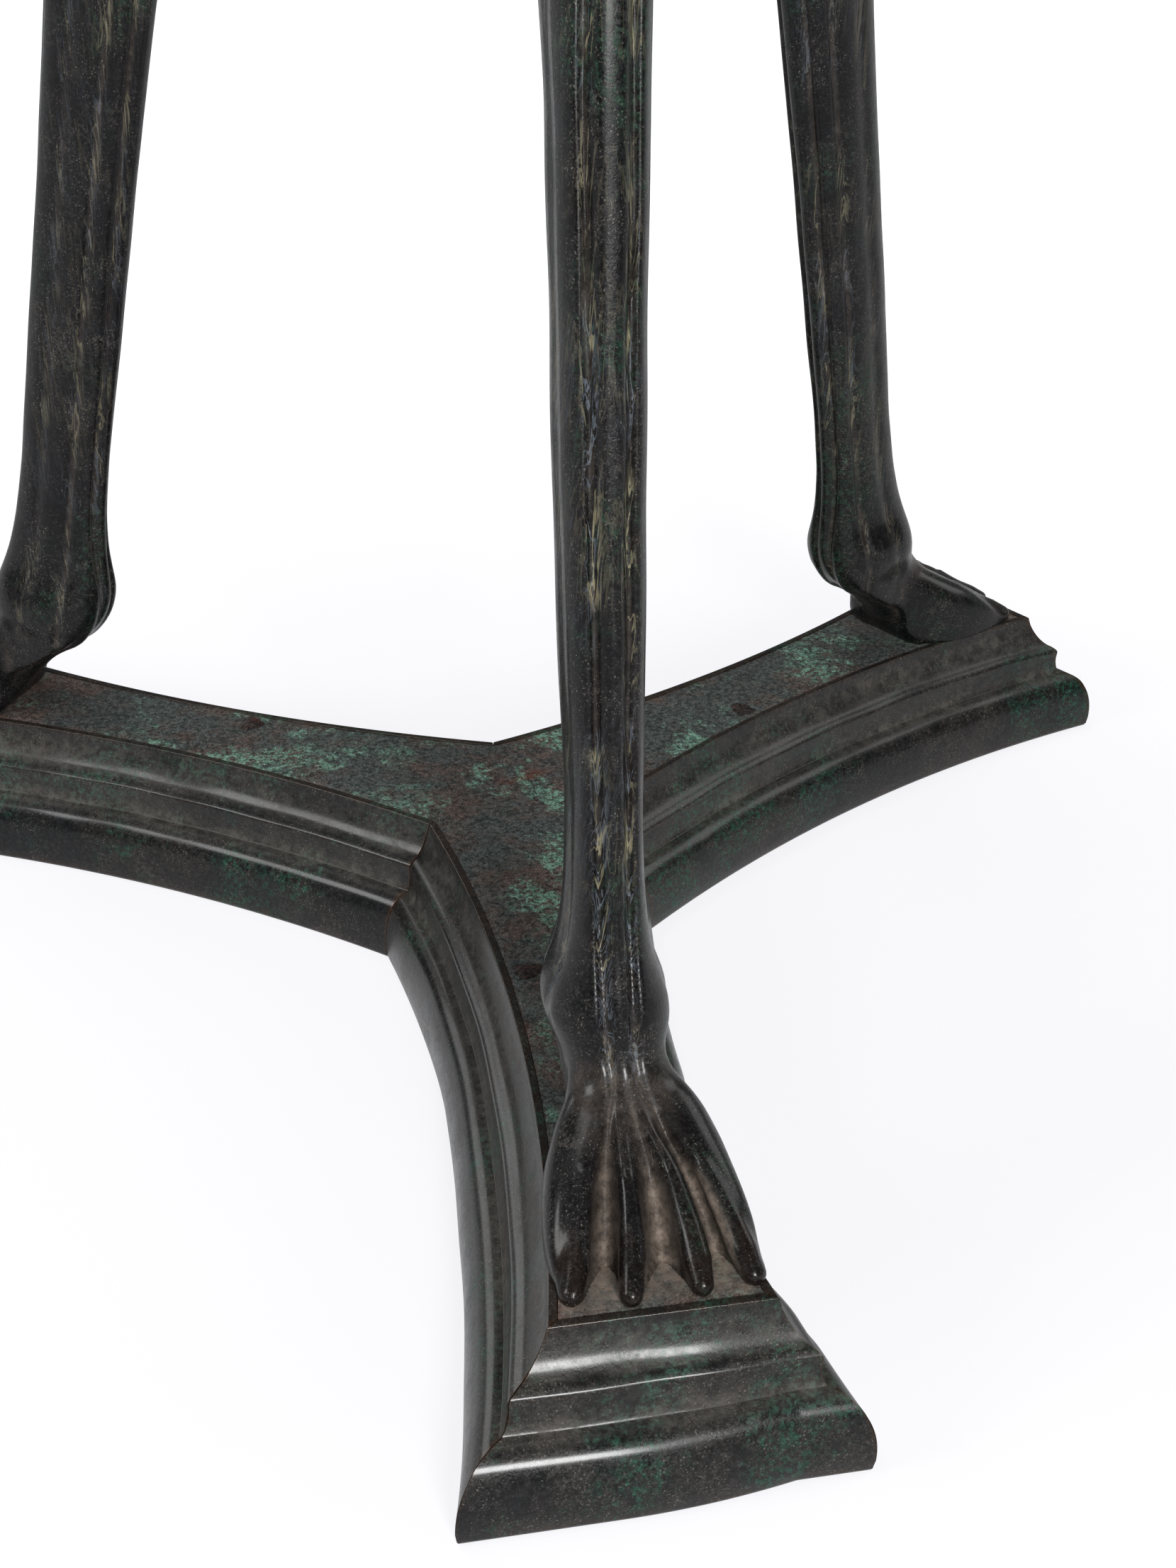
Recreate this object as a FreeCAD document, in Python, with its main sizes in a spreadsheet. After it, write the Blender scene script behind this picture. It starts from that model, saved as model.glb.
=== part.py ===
"""Roman bronze tripod: a concave three-armed base, three lion-footed legs, a hoop and a bowl.

Millimetres, +Z up. The origin is where the tripod's axis meets the floor. One arm of the
base points along -Y. Every driving size is a cell of the sheet "Sizes"; sketches, features
and placements are bound to those cells, and the cast, sculpted legs read them in code.
"""
import FreeCAD
import Part
import Sketcher
import math
import os

Vector = FreeCAD.Vector

SIZES = {
    # Base: plan of one arm, measured at the sharp top edge
    "tip_radius": 270.0,
    "tip_half_width": 31.9,
    "waist_half_width": 19.5,
    "base_height": 51.0,
    # Base: the cast moulding, outward from the top edge
    "foot_projection": 20.6,
    "foot_band_height": 4.6,
    "ovolo_top": 26.9,
    "ovolo_projection": 12.6,
    "ovolo_bulge": 1.9,
    "fillet_projection": 10.4,
    "fillet_top": 32.7,
    "cavetto_depth": 1.5,
    "fascia_height": 7.4,
    "fascia_projection": 0.3,
    "moulding_wall": 4.0,
    "lip_width": 2.6,
    "ledge_width": 11.0,
    "ledge_thickness": 4.0,
    "mitre_gap": 0.1,
    "mitre_stock": 60.0,
    # Base: the sheet let into the mouldings, and its rivets
    "plate_thickness": 3.5,
    "plate_clearance": 0.25,
    "rivet_width": 4.6,
    "rivet_head_width": 9.0,
    "rivet_head_height": 1.9,
    "rivet_station": 113.0,
    "rivet_inset": 6.6,
    "fixing_clearance": 0.1,
    # Paw and the forged dowel, washer and wedge that hold it down
    "paw_setback": 3.0,
    "paw_reach": 76.6,
    "paw_width": 57.0,
    "ankle_height": 41.0,
    "ankle_depth": 42.0,
    "toe_height": 30.0,
    "dowel_width": 9.0,
    "dowel_station": 46.0,
    "dowel_in_paw": 9.0,
    "dowel_below": 12.0,
    "wedge_thickness": 3.0,
    "wedge_height": 6.0,
    "wedge_length": 20.0,
    "washer_width": 17.0,
    "washer_thickness": 2.0,
    # Shank
    "knuckle_depth": 48.0,
    "knuckle_width": 36.0,
    "shank_rise": 348.0,
    "shank_depth": 36.6,
    "shank_width": 23.0,
    "hock_radius": 118.0,
    "hock_depth": 52.0,
    "hock_width": 30.0,
    "groove_spacing": 9.4,
    "groove_depth": 1.6,
    "spigot_width": 12.0,
    "spigot_length": 22.0,
    "spigot_clearance": 0.1,
    # Thigh
    "thigh_rise": 316.0,
    "thigh_depth": 60.0,
    "thigh_width": 36.0,
    "crown_depth": 34.0,
    "crown_width": 26.0,
    "band_height": 14.0,
    "band_thickness": 2.5,
    "band_clearance": 0.1,
    # Tie between the hocks
    "tie_drop": 34.0,
    "tie_width": 9.0,
    "tie_flange_width": 16.0,
    "tie_flange_thickness": 3.0,
    "tie_seat_depth": 9.0,
    "tie_tenon": 8.0,
    "tie_hub_radius": 36.0,
    "tie_hub_wall": 12.0,
    "tie_hub_height": 15.0,
    "tie_in_hub": 5.0,
    # Capital, hoop and bowl
    "hoop_radius": 200.0,
    "capital_height": 36.0,
    "capital_half_width": 24.0,
    "capital_tenon_width": 9.0,
    "capital_tenon_down": 14.0,
    "capital_tenon_up": 7.0,
    "hoop_foot_height": 10.0,
    "hoop_foot_width": 22.0,
    "hoop_band_height": 40.0,
    "hoop_band_thickness": 5.0,
    "hoop_head_height": 9.0,
    "hoop_head_width": 18.0,
    "bowl_clearance": 4.0,
    "bowl_depth": 92.0,
    "bowl_wall": 2.6,
    "bowl_rim_overhang": 5.0,
    "bowl_rim_thickness": 4.0,
    "bowl_seat_clearance": 0.2,
}

ARMS = {"front": -90.0, "right": 30.0, "left": 150.0}
HANDS = {"a": 1, "b": -1}

document = FreeCAD.newDocument("tripod")
sheet = document.addObject("Spreadsheet::Sheet", "Sizes")
pieces = []


def fill_sheet():
    """Write each driving size into its own cell, as a plain number with an alias."""
    for row, (alias, size_mm) in enumerate(SIZES.items(), start=1):
        sheet.set(f"A{row}", alias)
        sheet.set(f"B{row}", str(size_mm))
        sheet.setAlias(f"B{row}", alias)
    document.recompute()


def size(alias):
    """Return one driving size in millimetres."""
    return float(sheet.get(alias))


def worked(expression):
    """Return the value of an expression over the sheet's cells."""
    return float(sheet.evalExpression(expression))


def cell(alias):
    """Return the name by which an expression reads a cell."""
    return f"Sizes.{alias}"


# Plan of the base, worked out from the driving sizes.
# An arm's own frame has its x outward and its y to the left of the arm.
CORNER = f"({cell('tip_half_width')} / sqrt(3))"
CHORD = f"(({cell('tip_radius')} - {CORNER}) / 2)"
MIDDLE = f"(({cell('tip_radius')} + {CORNER}) / 2)"
SAGITTA = f"({cell('tip_half_width')} - {cell('waist_half_width')})"
ARC = f"(({CHORD}^2 + {SAGITTA}^2) / (2 * {SAGITTA}))"
ARC_CENTRE = f"({cell('waist_half_width')} + {ARC})"

# Heights, stacked from the floor up.
TOP = cell("base_height")
ANKLE = f"({TOP} + {cell('ankle_height')})"
HOCK = f"({ANKLE} + {cell('shank_rise')})"
CROWN = f"({HOCK} + {cell('thigh_rise')})"
HOOP_FOOT = f"({CROWN} + {cell('capital_height')})"
HOOP_BAND = f"({HOOP_FOOT} + {cell('hoop_foot_height')})"
HOOP_HEAD = f"({HOOP_BAND} + {cell('hoop_band_height')})"
HOOP_TOP = f"({HOOP_HEAD} + {cell('hoop_head_height')})"
CLAW_TIP = f"({cell('tip_radius')} - {cell('paw_setback')})"
ANKLE_RADIUS = f"({CLAW_TIP} - {cell('paw_reach')})"


def register(piece, label):
    """Label a finished piece and list it for export."""
    piece.Label = label
    pieces.append(piece)
    return piece


def join(label, members):
    """List repeated pieces, each still a solid of its own, as one piece."""
    group = document.addObject("Part::Compound", label)
    group.Links = members
    return register(group, label)


def origin_plane(body, role):
    """Return one of a body's own origin planes."""
    return next(item for item in body.Origin.OriginFeatures if item.Role == role)


def pin_point(sketch, geometry, position, place):
    """Bind a point of a sketch to two expressions, measured from the sketch's origin."""
    for kind, expression in zip(("DistanceX", "DistanceY"), place):
        constraint = Sketcher.Constraint(kind, -1, 1, geometry, position, worked(expression))
        index = sketch.addConstraint(constraint)
        sketch.setExpression(f"Constraints[{index}]", expression)


def add_outline(sketch, start, steps):
    """Draw one closed outline whose corners, and points on arcs, are bound to expressions.

    start is a corner. Each step is a corner, or a point on an arc and the corner after it.
    """
    def place(pair):
        return Vector(worked(pair[0]), worked(pair[1]), 0)

    corner = start
    first = None
    last = None
    for step in steps:
        end = step[-1]
        if len(step) == 2 and isinstance(step[0], tuple):
            ends = [place(corner), place(end)]
            bow = place(step[0])
            clockwise = (bow - ends[0]).cross(ends[1] - bow).z < 0
            head, tail = (2, 1) if clockwise else (1, 2)
            if clockwise:
                ends.reverse()
            index = sketch.addGeometry(Part.Arc(ends[0], bow, ends[1]), False)
            mark = sketch.addGeometry(Part.Point(place(step[0])), True)
            pin_point(sketch, mark, 1, step[0])
            sketch.addConstraint(Sketcher.Constraint("PointOnObject", mark, 1, index))
        else:
            end = step
            index = sketch.addGeometry(Part.LineSegment(place(corner), place(end)), False)
            head, tail = 1, 2
        if first is None:
            first = (index, head)
            pin_point(sketch, index, head, start)
        else:
            sketch.addConstraint(Sketcher.Constraint("Coincident", last[0], last[1], index, head))
        if end == start:
            sketch.addConstraint(Sketcher.Constraint("Coincident", index, tail, first[0], first[1]))
        else:
            pin_point(sketch, index, tail, end)
        last = (index, tail)
        corner = end


def add_square(sketch, centre, width):
    """Draw a square of a given width about a centre, both bound to expressions."""
    low_x, high_x = (f"{centre[0]} {sign} 0.5 * ({width})" for sign in "-+")
    low_y, high_y = (f"{centre[1]} {sign} 0.5 * ({width})" for sign in "-+")
    corners = [(low_x, low_y), (high_x, low_y), (high_x, high_y), (low_x, high_y)]
    add_outline(sketch, corners[0], corners[1:] + corners[:1])


def add_sketch(body, name, role, lift=None):
    """Start a sketch on one of a body's own planes, lifted off it along its normal."""
    sketch = body.newObject("Sketcher::SketchObject", name)
    sketch.AttachmentSupport = (origin_plane(body, role), [""])
    sketch.MapMode = "FlatFace"
    if lift:
        sketch.setExpression("AttachmentOffset.Base.z", lift)
        document.recompute()
    return sketch


def start_body(name):
    """Start one piece as a body of its own."""
    return document.addObject("PartDesign::Body", name)


def pad(body, name, sketch, length, reversed_way=False, midplane=False):
    """Raise a sketch into a solid."""
    feature = body.newObject("PartDesign::Pad", name)
    feature.Profile = sketch
    feature.setExpression("Length", length)
    feature.Reversed = reversed_way
    if midplane:
        feature.SideType = "Symmetric"
    return feature


def pocket(body, name, sketch, length, reversed_way=False):
    """Cut a sketch out of a solid, and make sure that it removed material."""
    document.recompute()
    before = body.Shape.Volume
    feature = body.newObject("PartDesign::Pocket", name)
    feature.Profile = sketch
    feature.setExpression("Length", length)
    feature.Reversed = reversed_way
    document.recompute()
    if body.Shape.Volume > before - 1e-3:
        raise RuntimeError(f"{feature.Name} cuts nothing")
    return feature


def revolve(body, name, sketch, axis="V_Axis", angle=None):
    """Turn a sketch about one of its own axes, the whole way round or by an angle."""
    feature = body.newObject("PartDesign::Revolution", name)
    feature.Profile = sketch
    feature.ReferenceAxis = (sketch, [axis])
    feature.Angle = 360.0
    if angle:
        feature.setExpression("Angle", angle)
        feature.Midplane = True
    return feature


def three_times(body, name, features):
    """Repeat features at every third of a turn about the body's own Z axis."""
    pattern = body.newObject("PartDesign::PolarPattern", name)
    pattern.Originals = features
    axis = next(item for item in body.Origin.OriginFeatures if item.Role == "Z_Axis")
    pattern.Axis = (axis, [""])
    pattern.Angle = 360.0
    pattern.Occurrences = 3
    body.Tip = pattern
    return pattern


def place_body(body, x, y, z, turn):
    """Bind a body's position to expressions and turn it about Z by an angle in degrees."""
    body.Placement = FreeCAD.Placement(Vector(), FreeCAD.Rotation(Vector(0, 0, 1), turn))
    body.setExpression("Placement.Base.x", x)
    body.setExpression("Placement.Base.y", y)
    body.setExpression("Placement.Base.z", z)


def on_arm(angle, outward, sideways):
    """Return expressions for the place that an arm's own frame gives as outward and sideways."""
    along = f"(cos({angle}) * {outward} - sin({angle}) * ({sideways}))"
    across = f"(sin({angle}) * {outward} + cos({angle}) * ({sideways}))"
    return along, across


def moulding_profile(datum, way):
    """Return the moulding's section as an outline of straight runs.

    datum is where the sharp top edge stands along the sketch's x, and way is 1 where the
    moulding projects towards larger x and -1 where it projects towards smaller x.
    """
    def at(outward, height):
        return f"{datum} + {way} * ({outward})", height

    def between(low, high, share):
        return f"(({low}) + {share} * (({high}) - ({low})))"

    wall = cell("moulding_wall")
    foot = cell("foot_projection")
    band = cell("foot_band_height")
    ovolo = cell("ovolo_projection")
    ovolo_top = cell("ovolo_top")
    bulge = cell("ovolo_bulge")
    fillet = cell("fillet_projection")
    fillet_top = cell("fillet_top")
    fascia = cell("fascia_projection")
    fascia_foot = f"({TOP} - {cell('fascia_height')})"
    ledge_top = f"({TOP} - {cell('plate_thickness')})"
    ledge_foot = f"({ledge_top} - {cell('ledge_thickness')})"
    ledge_edge = f"-{cell('lip_width')} - {cell('ledge_width')}"
    start = at(foot, "0")
    steps = [
        at(foot, band),
        at(f"{between(foot, ovolo, 0.5)} + {bulge}", between(band, ovolo_top, 0.5)),
        at(ovolo, ovolo_top),
        at(fillet, ovolo_top),
        at(fillet, fillet_top),
        at(f"{between(fillet, fascia, 0.5)} - {cell('cavetto_depth')}", between(fillet_top, fascia_foot, 0.4)),
        at(fascia, fascia_foot),
        at("0", TOP),
        at(f"-{cell('lip_width')}", TOP),
        at(f"-{cell('lip_width')}", ledge_top),
        at(ledge_edge, ledge_top),
        at(ledge_edge, ledge_foot),
        at(f"{fascia} - {wall}", ledge_foot),
        at(f"{foot} - {wall}", "0"),
        start,
    ]
    return start, steps


def mitre_run():
    """Return how far sideways the mitre at an arm's tip runs over the whole projection."""
    outward = cell("foot_projection")
    near = f"({ARC_CENTRE} - {cell('tip_half_width')})"
    return f"({near} - sqrt(({ARC} - {outward})^2 - ({CHORD} + {outward})^2))"


def build_side_moulding(arm, angle, hand, side):
    """Model one curved side strip, mitred at the arm's tip and at the inner corner."""
    body = start_body(f"side_moulding_{arm}_{hand}")
    section = add_sketch(body, f"{body.Name}_section", "XZ_Plane")
    add_outline(section, *moulding_profile(ARC, -1))
    stock = cell("mitre_stock")
    revolve(body, f"{body.Name}_sweep", section, angle=f"(2 * asin(({CHORD} + {stock}) / {ARC}))")
    document.recompute()

    # Both mitres, seen from above in the frame of the arc's centre.
    near = f"({ARC_CENTRE} - {cell('tip_half_width')})"
    outward = cell("foot_projection")
    inward = f"({cell('lip_width')} + {cell('ledge_width')})"
    run = mitre_run()
    past = f"{side} * 2 * {stock}"
    tip = f"{side} * ({CHORD} - {cell('mitre_gap')})"
    tip_mitre = [
        (f"{near} - 2.2 * {run}", f"{tip} + {side} * 2.2 * {outward}"),
        (f"{near} + 1.2 * {run}", f"{tip} - {side} * 1.2 * {outward}"),
        (f"{near} + 1.2 * {run}", f"{tip} + {past}"),
        (f"{near} - 2.2 * {run}", f"{tip} + {past}"),
    ]
    corner = f"-1 * {side} * ({CHORD} - 1.2 * {cell('mitre_gap')})"
    outer_end = f"3 * {outward}"
    inner_end = f"2.5 * {inward}"
    corner_mitre = [
        (f"{near} - {outer_end} * sin(60)", f"{corner} + {side} * {outer_end} * cos(60)"),
        (f"{near} + {inner_end} * sin(60)", f"{corner} - {side} * {inner_end} * cos(60)"),
        (f"{near} + {inner_end} * sin(60)", f"{corner} - {past}"),
        (f"{near} - {outer_end} * sin(60)", f"{corner} - {past}"),
    ]
    mitres = add_sketch(body, f"{body.Name}_mitres", "XY_Plane")
    for corners in (tip_mitre, corner_mitre):
        add_outline(mitres, corners[0], corners[1:] + corners[:1])
    pocket(body, f"{body.Name}_mitre_cut", mitres, f"{TOP} + 1", reversed_way=True)
    x, y = on_arm(angle, MIDDLE, f"{side} * {ARC_CENTRE}")
    place_body(body, x, y, "0", angle - 90.0 * side)
    return body


def build_end_moulding(arm, angle):
    """Model the straight strip across one arm's tip, mitred at both ends."""
    body = start_body(f"end_moulding_{arm}")
    section = add_sketch(body, f"{body.Name}_section", "XZ_Plane")
    add_outline(section, *moulding_profile("0", 1))
    outward = cell("foot_projection")
    length = f"2 * ({cell('tip_half_width')} + 3 * {outward})"
    pad(body, f"{body.Name}_length", section, length, midplane=True)
    document.recompute()
    run = mitre_run()
    edge = f"({cell('tip_half_width')} - {cell('mitre_gap')})"
    past = f"({cell('tip_half_width')} + 4 * {outward})"
    mitres = add_sketch(body, f"{body.Name}_mitres", "XY_Plane")
    for side in HANDS.values():
        corners = [
            (f"2.2 * {outward}", f"{side} * ({edge} + 2.2 * {run})"),
            (f"-1.2 * {outward}", f"{side} * ({edge} - 1.2 * {run})"),
            (f"-1.2 * {outward}", f"{side} * {past}"),
            (f"2.2 * {outward}", f"{side} * {past}"),
        ]
        add_outline(mitres, corners[0], corners[1:] + corners[:1])
    pocket(body, f"{body.Name}_mitre_cut", mitres, f"{TOP} + 1", reversed_way=True)
    x, y = on_arm(angle, cell("tip_radius"), "0")
    place_body(body, x, y, "0", angle)
    return body


def rivet_place():
    """Return a rivet's place in an arm's own frame, over the ledge of a side strip."""
    edge = f"({ARC_CENTRE} - sqrt({ARC}^2 - ({MIDDLE} - {cell('rivet_station')})^2))"
    return cell("rivet_station"), f"-1 * ({edge} - {cell('lip_width')} - {cell('rivet_inset')})"


def dowel_radius_place():
    """Return how far from the tripod's axis a foot dowel stands."""
    return f"({ANKLE_RADIUS} + {cell('dowel_station')})"


def build_base_plate():
    """Model the sheet let into the mouldings: one arm, then three of it."""
    body = start_body("base_plate")
    under = f"({TOP} - {cell('plate_thickness')})"
    outline = add_sketch(body, "base_plate_outline", "XY_Plane", under)
    inset = f"({cell('lip_width')} + {cell('plate_clearance')})"
    rho = f"({ARC} + {inset})"
    along = f"(cos(60) * {MIDDLE} + sin(60) * {ARC_CENTRE})"
    corner = f"({along} - sqrt({along}^2 - {MIDDLE}^2 - {ARC_CENTRE}^2 + {rho}^2))"
    tip = f"({cell('tip_radius')} - {inset})"
    tip_edge = f"({ARC_CENTRE} - sqrt({rho}^2 - ({tip} - {MIDDLE})^2))"
    waist = f"({ARC_CENTRE} - {rho})"
    left = (f"{corner} * cos(60)", f"{corner} * sin(60)")
    right = (f"{corner} * cos(60)", f"-1 * {corner} * sin(60)")
    add_outline(outline, ("0", "0"), [
        right,
        ((MIDDLE, f"-1 * {waist}"), (tip, f"-1 * {tip_edge}")),
        (tip, tip_edge),
        ((MIDDLE, waist), left),
        ("0", "0"),
    ])
    sheet_pad = pad(body, "base_plate_sheet", outline, cell("plate_thickness"))
    holes = add_sketch(body, "base_plate_holes", "XY_Plane", TOP)
    spare = f"2 * {cell('fixing_clearance')}"
    add_square(holes, rivet_place(), f"{cell('rivet_width')} + {spare}")
    add_square(holes, (dowel_radius_place(), "0"), f"{cell('dowel_width')} + {spare}")
    hole_cut = pocket(body, "base_plate_hole_cut", holes, f"2 * {cell('plate_thickness')}")
    three_times(body, "base_plate_arms", [sheet_pad, hole_cut])
    place_body(body, "0", "0", "0", ARMS["front"])
    return register(body, "base_plate")


def pierce_ledge(strip):
    """Pierce the rivet's hole through a side strip's ledge."""
    under = f"({TOP} - {cell('plate_thickness')} - {cell('ledge_thickness')} - 1)"
    station, across = rivet_place()
    local = (f"{ARC_CENTRE} + ({across})", f"-1 * ({station} - {MIDDLE})")
    hole = add_sketch(strip, f"{strip.Name}_hole", "XY_Plane", under)
    add_square(hole, local, f"{cell('rivet_width')} + 2 * {cell('fixing_clearance')}")
    pocket(strip, f"{strip.Name}_pierced", hole, f"{cell('ledge_thickness')} + 2", True)


def build_rivets():
    """Model the iron rivets that hold the sheet to one ledge of each arm."""
    body = start_body("plate_rivets")
    under = f"({TOP} - {cell('plate_thickness')} - {cell('ledge_thickness')})"
    features = []
    shaft_sketch = add_sketch(body, "plate_rivets_shafts", "XY_Plane", under)
    add_square(shaft_sketch, rivet_place(), cell("rivet_width"))
    through = f"{cell('plate_thickness')} + {cell('ledge_thickness')}"
    features.append(pad(body, "plate_rivets_shank", shaft_sketch, through))
    head_sketch = add_sketch(body, "plate_rivets_heads", "XY_Plane", TOP)
    add_square(head_sketch, rivet_place(), cell("rivet_head_width"))
    features.append(pad(body, "plate_rivets_head", head_sketch, cell("rivet_head_height")))
    burr_sketch = add_sketch(body, "plate_rivets_burrs", "XY_Plane", under)
    add_square(burr_sketch, rivet_place(), f"1.5 * {cell('rivet_width')}")
    burr = f"{cell('rivet_head_height')} / 2"
    features.append(pad(body, "plate_rivets_burr", burr_sketch, burr, reversed_way=True))
    three_times(body, "plate_rivets_arms", features)
    place_body(body, "0", "0", "0", ARMS["front"])
    return register(body, "plate_rivets")


def build_foot_dowels():
    """Model the iron dowels that tie the paws to the sheet, each slotted for a wedge."""
    body = start_body("foot_dowels")
    foot = f"({TOP} - {cell('plate_thickness')} - {cell('washer_thickness')})"
    shaft_sketch = add_sketch(body, "foot_dowels_section", "XY_Plane", f"{foot} - {cell('dowel_below')}")
    add_square(shaft_sketch, (dowel_radius_place(), "0"), cell("dowel_width"))
    length = f"{cell('dowel_below')} + {TOP} - {foot} + {cell('dowel_in_paw')}"
    shaft = pad(body, "foot_dowels_shaft", shaft_sketch, length)
    slot_sketch = add_sketch(body, "foot_dowels_slot_outline", "XZ_Plane")
    half = f"{cell('wedge_thickness')} / 2"
    low = f"{foot} - {cell('wedge_height')} - 1"
    inner = f"{dowel_radius_place()} - {half}"
    outer = f"{dowel_radius_place()} + {half}"
    add_outline(slot_sketch, (inner, low), [(outer, low), (outer, foot), (inner, foot), (inner, low)])
    document.recompute()
    slot = body.newObject("PartDesign::Pocket", "foot_dowels_slot")
    slot.Profile = slot_sketch
    slot.SideType = "Symmetric"
    slot.setExpression("Length", f"2 * {cell('dowel_width')}")
    document.recompute()
    three_times(body, "foot_dowels_arms", [shaft, slot])
    place_body(body, "0", "0", "0", ARMS["front"])
    return register(body, "foot_dowels")


def build_foot_wedges():
    """Model the tapered keys driven through the dowels under the washers."""
    body = start_body("foot_wedges")
    foot = f"({TOP} - {cell('plate_thickness')} - {cell('washer_thickness')})"
    outline = add_sketch(body, "foot_wedges_outline", "YZ_Plane")
    half = f"{cell('wedge_length')} / 2"
    low = f"{foot} - {cell('wedge_height')}"
    corners = [
        (f"-1 * {half}", foot),
        (half, foot),
        (half, f"{low} + 0.25 * {cell('wedge_height')}"),
        (f"-1 * {half}", low),
    ]
    add_outline(outline, corners[0], corners[1:] + corners[:1])
    outline.setExpression("AttachmentOffset.Base.z", dowel_radius_place())
    document.recompute()
    wedge = pad(body, "foot_wedges_key", outline, f"{cell('wedge_thickness')} - {cell('fixing_clearance')}", midplane=True)
    three_times(body, "foot_wedges_arms", [wedge])
    place_body(body, "0", "0", "0", ARMS["front"])
    return register(body, "foot_wedges")


def build_foot_washers():
    """Model the washers between the sheet and the wedges."""
    body = start_body("foot_washers")
    foot = f"({TOP} - {cell('plate_thickness')} - {cell('washer_thickness')})"
    outline = add_sketch(body, "foot_washers_outline", "XY_Plane", foot)
    place = (dowel_radius_place(), "0")
    add_square(outline, place, cell("washer_width"))
    add_square(outline, place, f"{cell('dowel_width')} + 2 * {cell('fixing_clearance')}")
    disc = pad(body, "foot_washers_disc", outline, cell("washer_thickness"))
    three_times(body, "foot_washers_arms", [disc])
    place_body(body, "0", "0", "0", ARMS["front"])
    return register(body, "foot_washers")


def oval(outward, height, sideways, half_depth, half_width, tilt, around):
    """Return the corners of an oval section in an arm's own frame, its front tipped up."""
    lean = math.radians(tilt)
    corners = []
    for step in range(around):
        turn = 2 * math.pi * (step + 0.5) / around
        reach = half_depth * math.cos(turn)
        across = half_width * math.sin(turn)
        corners.append(Vector(
            outward + reach * math.cos(lean), sideways + across, height + reach * math.sin(lean)))
    return corners


def limb_section(outward, height, depth, width, groove=0.0, tilt=0.0):
    """Return the corners of a limb's section, with a ridge between grooves front and back."""
    lean = math.radians(tilt)
    half_spacing = size("groove_spacing") / 2
    quarter = [
        (0.5 * depth, 0.0),
        (0.485 * depth - groove, half_spacing),
        (0.445 * depth, 1.75 * half_spacing),
        (0.28 * depth, 0.475 * width),
        (0.0, 0.5 * width),
    ]
    half = quarter + [(-reach, across) for reach, across in reversed(quarter[:-1])]
    ring = half + [(reach, -across) for reach, across in reversed(half[1:-1])]
    return [
        Vector(outward + reach * math.cos(lean), across, height - reach * math.sin(lean))
        for reach, across in ring
    ]


def facets(first, second, third, fourth):
    """Return one flat face over four corners, or two where the corners aren't level."""
    twist = (second - first).cross(fourth - first).dot(third - first)
    if abs(twist) < 1e-6:
        corners = [(first, second, third, fourth)]
    elif (third - first).Length < (fourth - second).Length:
        corners = [(first, second, third), (first, third, fourth)]
    else:
        corners = [(first, second, fourth), (second, third, fourth)]
    return [Part.Face(Part.makePolygon([*face, face[0]])) for face in corners]


def faceted(sections):
    """Return the solid with flat facets through sections that have equally many corners."""
    faces = [Part.Face(Part.makePolygon([*ring, ring[0]])) for ring in (sections[0], sections[-1])]
    for low, high in zip(sections, sections[1:]):
        for step in range(len(low)):
            after = (step + 1) % len(low)
            faces.extend(facets(low[step], low[after], high[after], high[step]))
    shell = Part.Shell(faces)
    shell.sewShape()
    solid = Part.Solid(shell)
    if solid.Volume < 0:
        solid.reverse()
    return solid


def upright_bar(width, length, outward, height):
    """Return a square bar along Z in an arm's own frame, standing on a given height."""
    corner = Vector(outward - width / 2, -width / 2, height)
    return Part.makeBox(width, width, length, corner)


def level_bar(width, length, outward, height):
    """Return a square bar in an arm's own frame that starts at outward and runs outward."""
    corner = Vector(outward, -width / 2, height - width / 2)
    return Part.makeBox(length, width, width, corner)


def add_cast_piece(name, shape, angle):
    """Add a sculpted casting, modelled in its arm's own frame, and turn it to its arm."""
    piece = document.addObject("Part::Feature", name)
    piece.Shape = shape.removeSplitter()
    piece.Placement = FreeCAD.Placement(Vector(), FreeCAD.Rotation(Vector(0, 0, 1), angle))
    return register(piece, name)


# Stations of one toe, from the pastern to the claw: share of the paw's reach, share of the
# toe's height, then half height and half width in millimetres, and share of its spread.
TOE_STATIONS = (
    (0.20, 0.98, 9.0, 5.0, 0.36),
    (0.37, 0.76, 10.5, 6.7, 0.58),
    (0.56, 0.53, 10.6, 7.7, 0.79),
    (0.74, 0.31, 9.2, 8.1, 0.93),
    (0.89, 0.17, 6.6, 6.8, 1.0),
    (0.985, 0.06, 2.8, 2.8, 1.02),
)
TOE_SPREADS = (-0.86, -0.30, 0.30, 0.86)

# Stations of the pastern, from the ankle down to the pads: share of the paw's reach, share
# of the ankle's height, share of the ankle's depth, share of the paw's width, and tilt.
PASTERN_STATIONS = (
    (0.00, 1.00, 1.00, 0.54, 0.0),
    (0.02, 0.80, 0.93, 0.53, 20.0),
    (0.09, 0.60, 0.80, 0.54, 38.0),
    (0.21, 0.43, 0.72, 0.60, 50.0),
    (0.37, 0.31, 0.62, 0.72, 60.0),
    (0.55, 0.20, 0.48, 0.82, 70.0),
    (0.72, 0.10, 0.30, 0.84, 80.0),
)


def toe(spread):
    """Return one toe, from the pastern to its claw."""
    ankle = worked(ANKLE_RADIUS)
    reach = size("paw_reach") - 3.0 * abs(spread)
    across = spread * (0.5 * size("paw_width") - 4.0)
    sections = []
    for along, rise, half_height, half_width, share in TOE_STATIONS:
        height = size("base_height") + rise * size("toe_height")
        place = (ankle + along * reach, height, share * across)
        sections.append(oval(*place, half_height, half_width, 90.0, 8))
    return faceted(sections)


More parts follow.
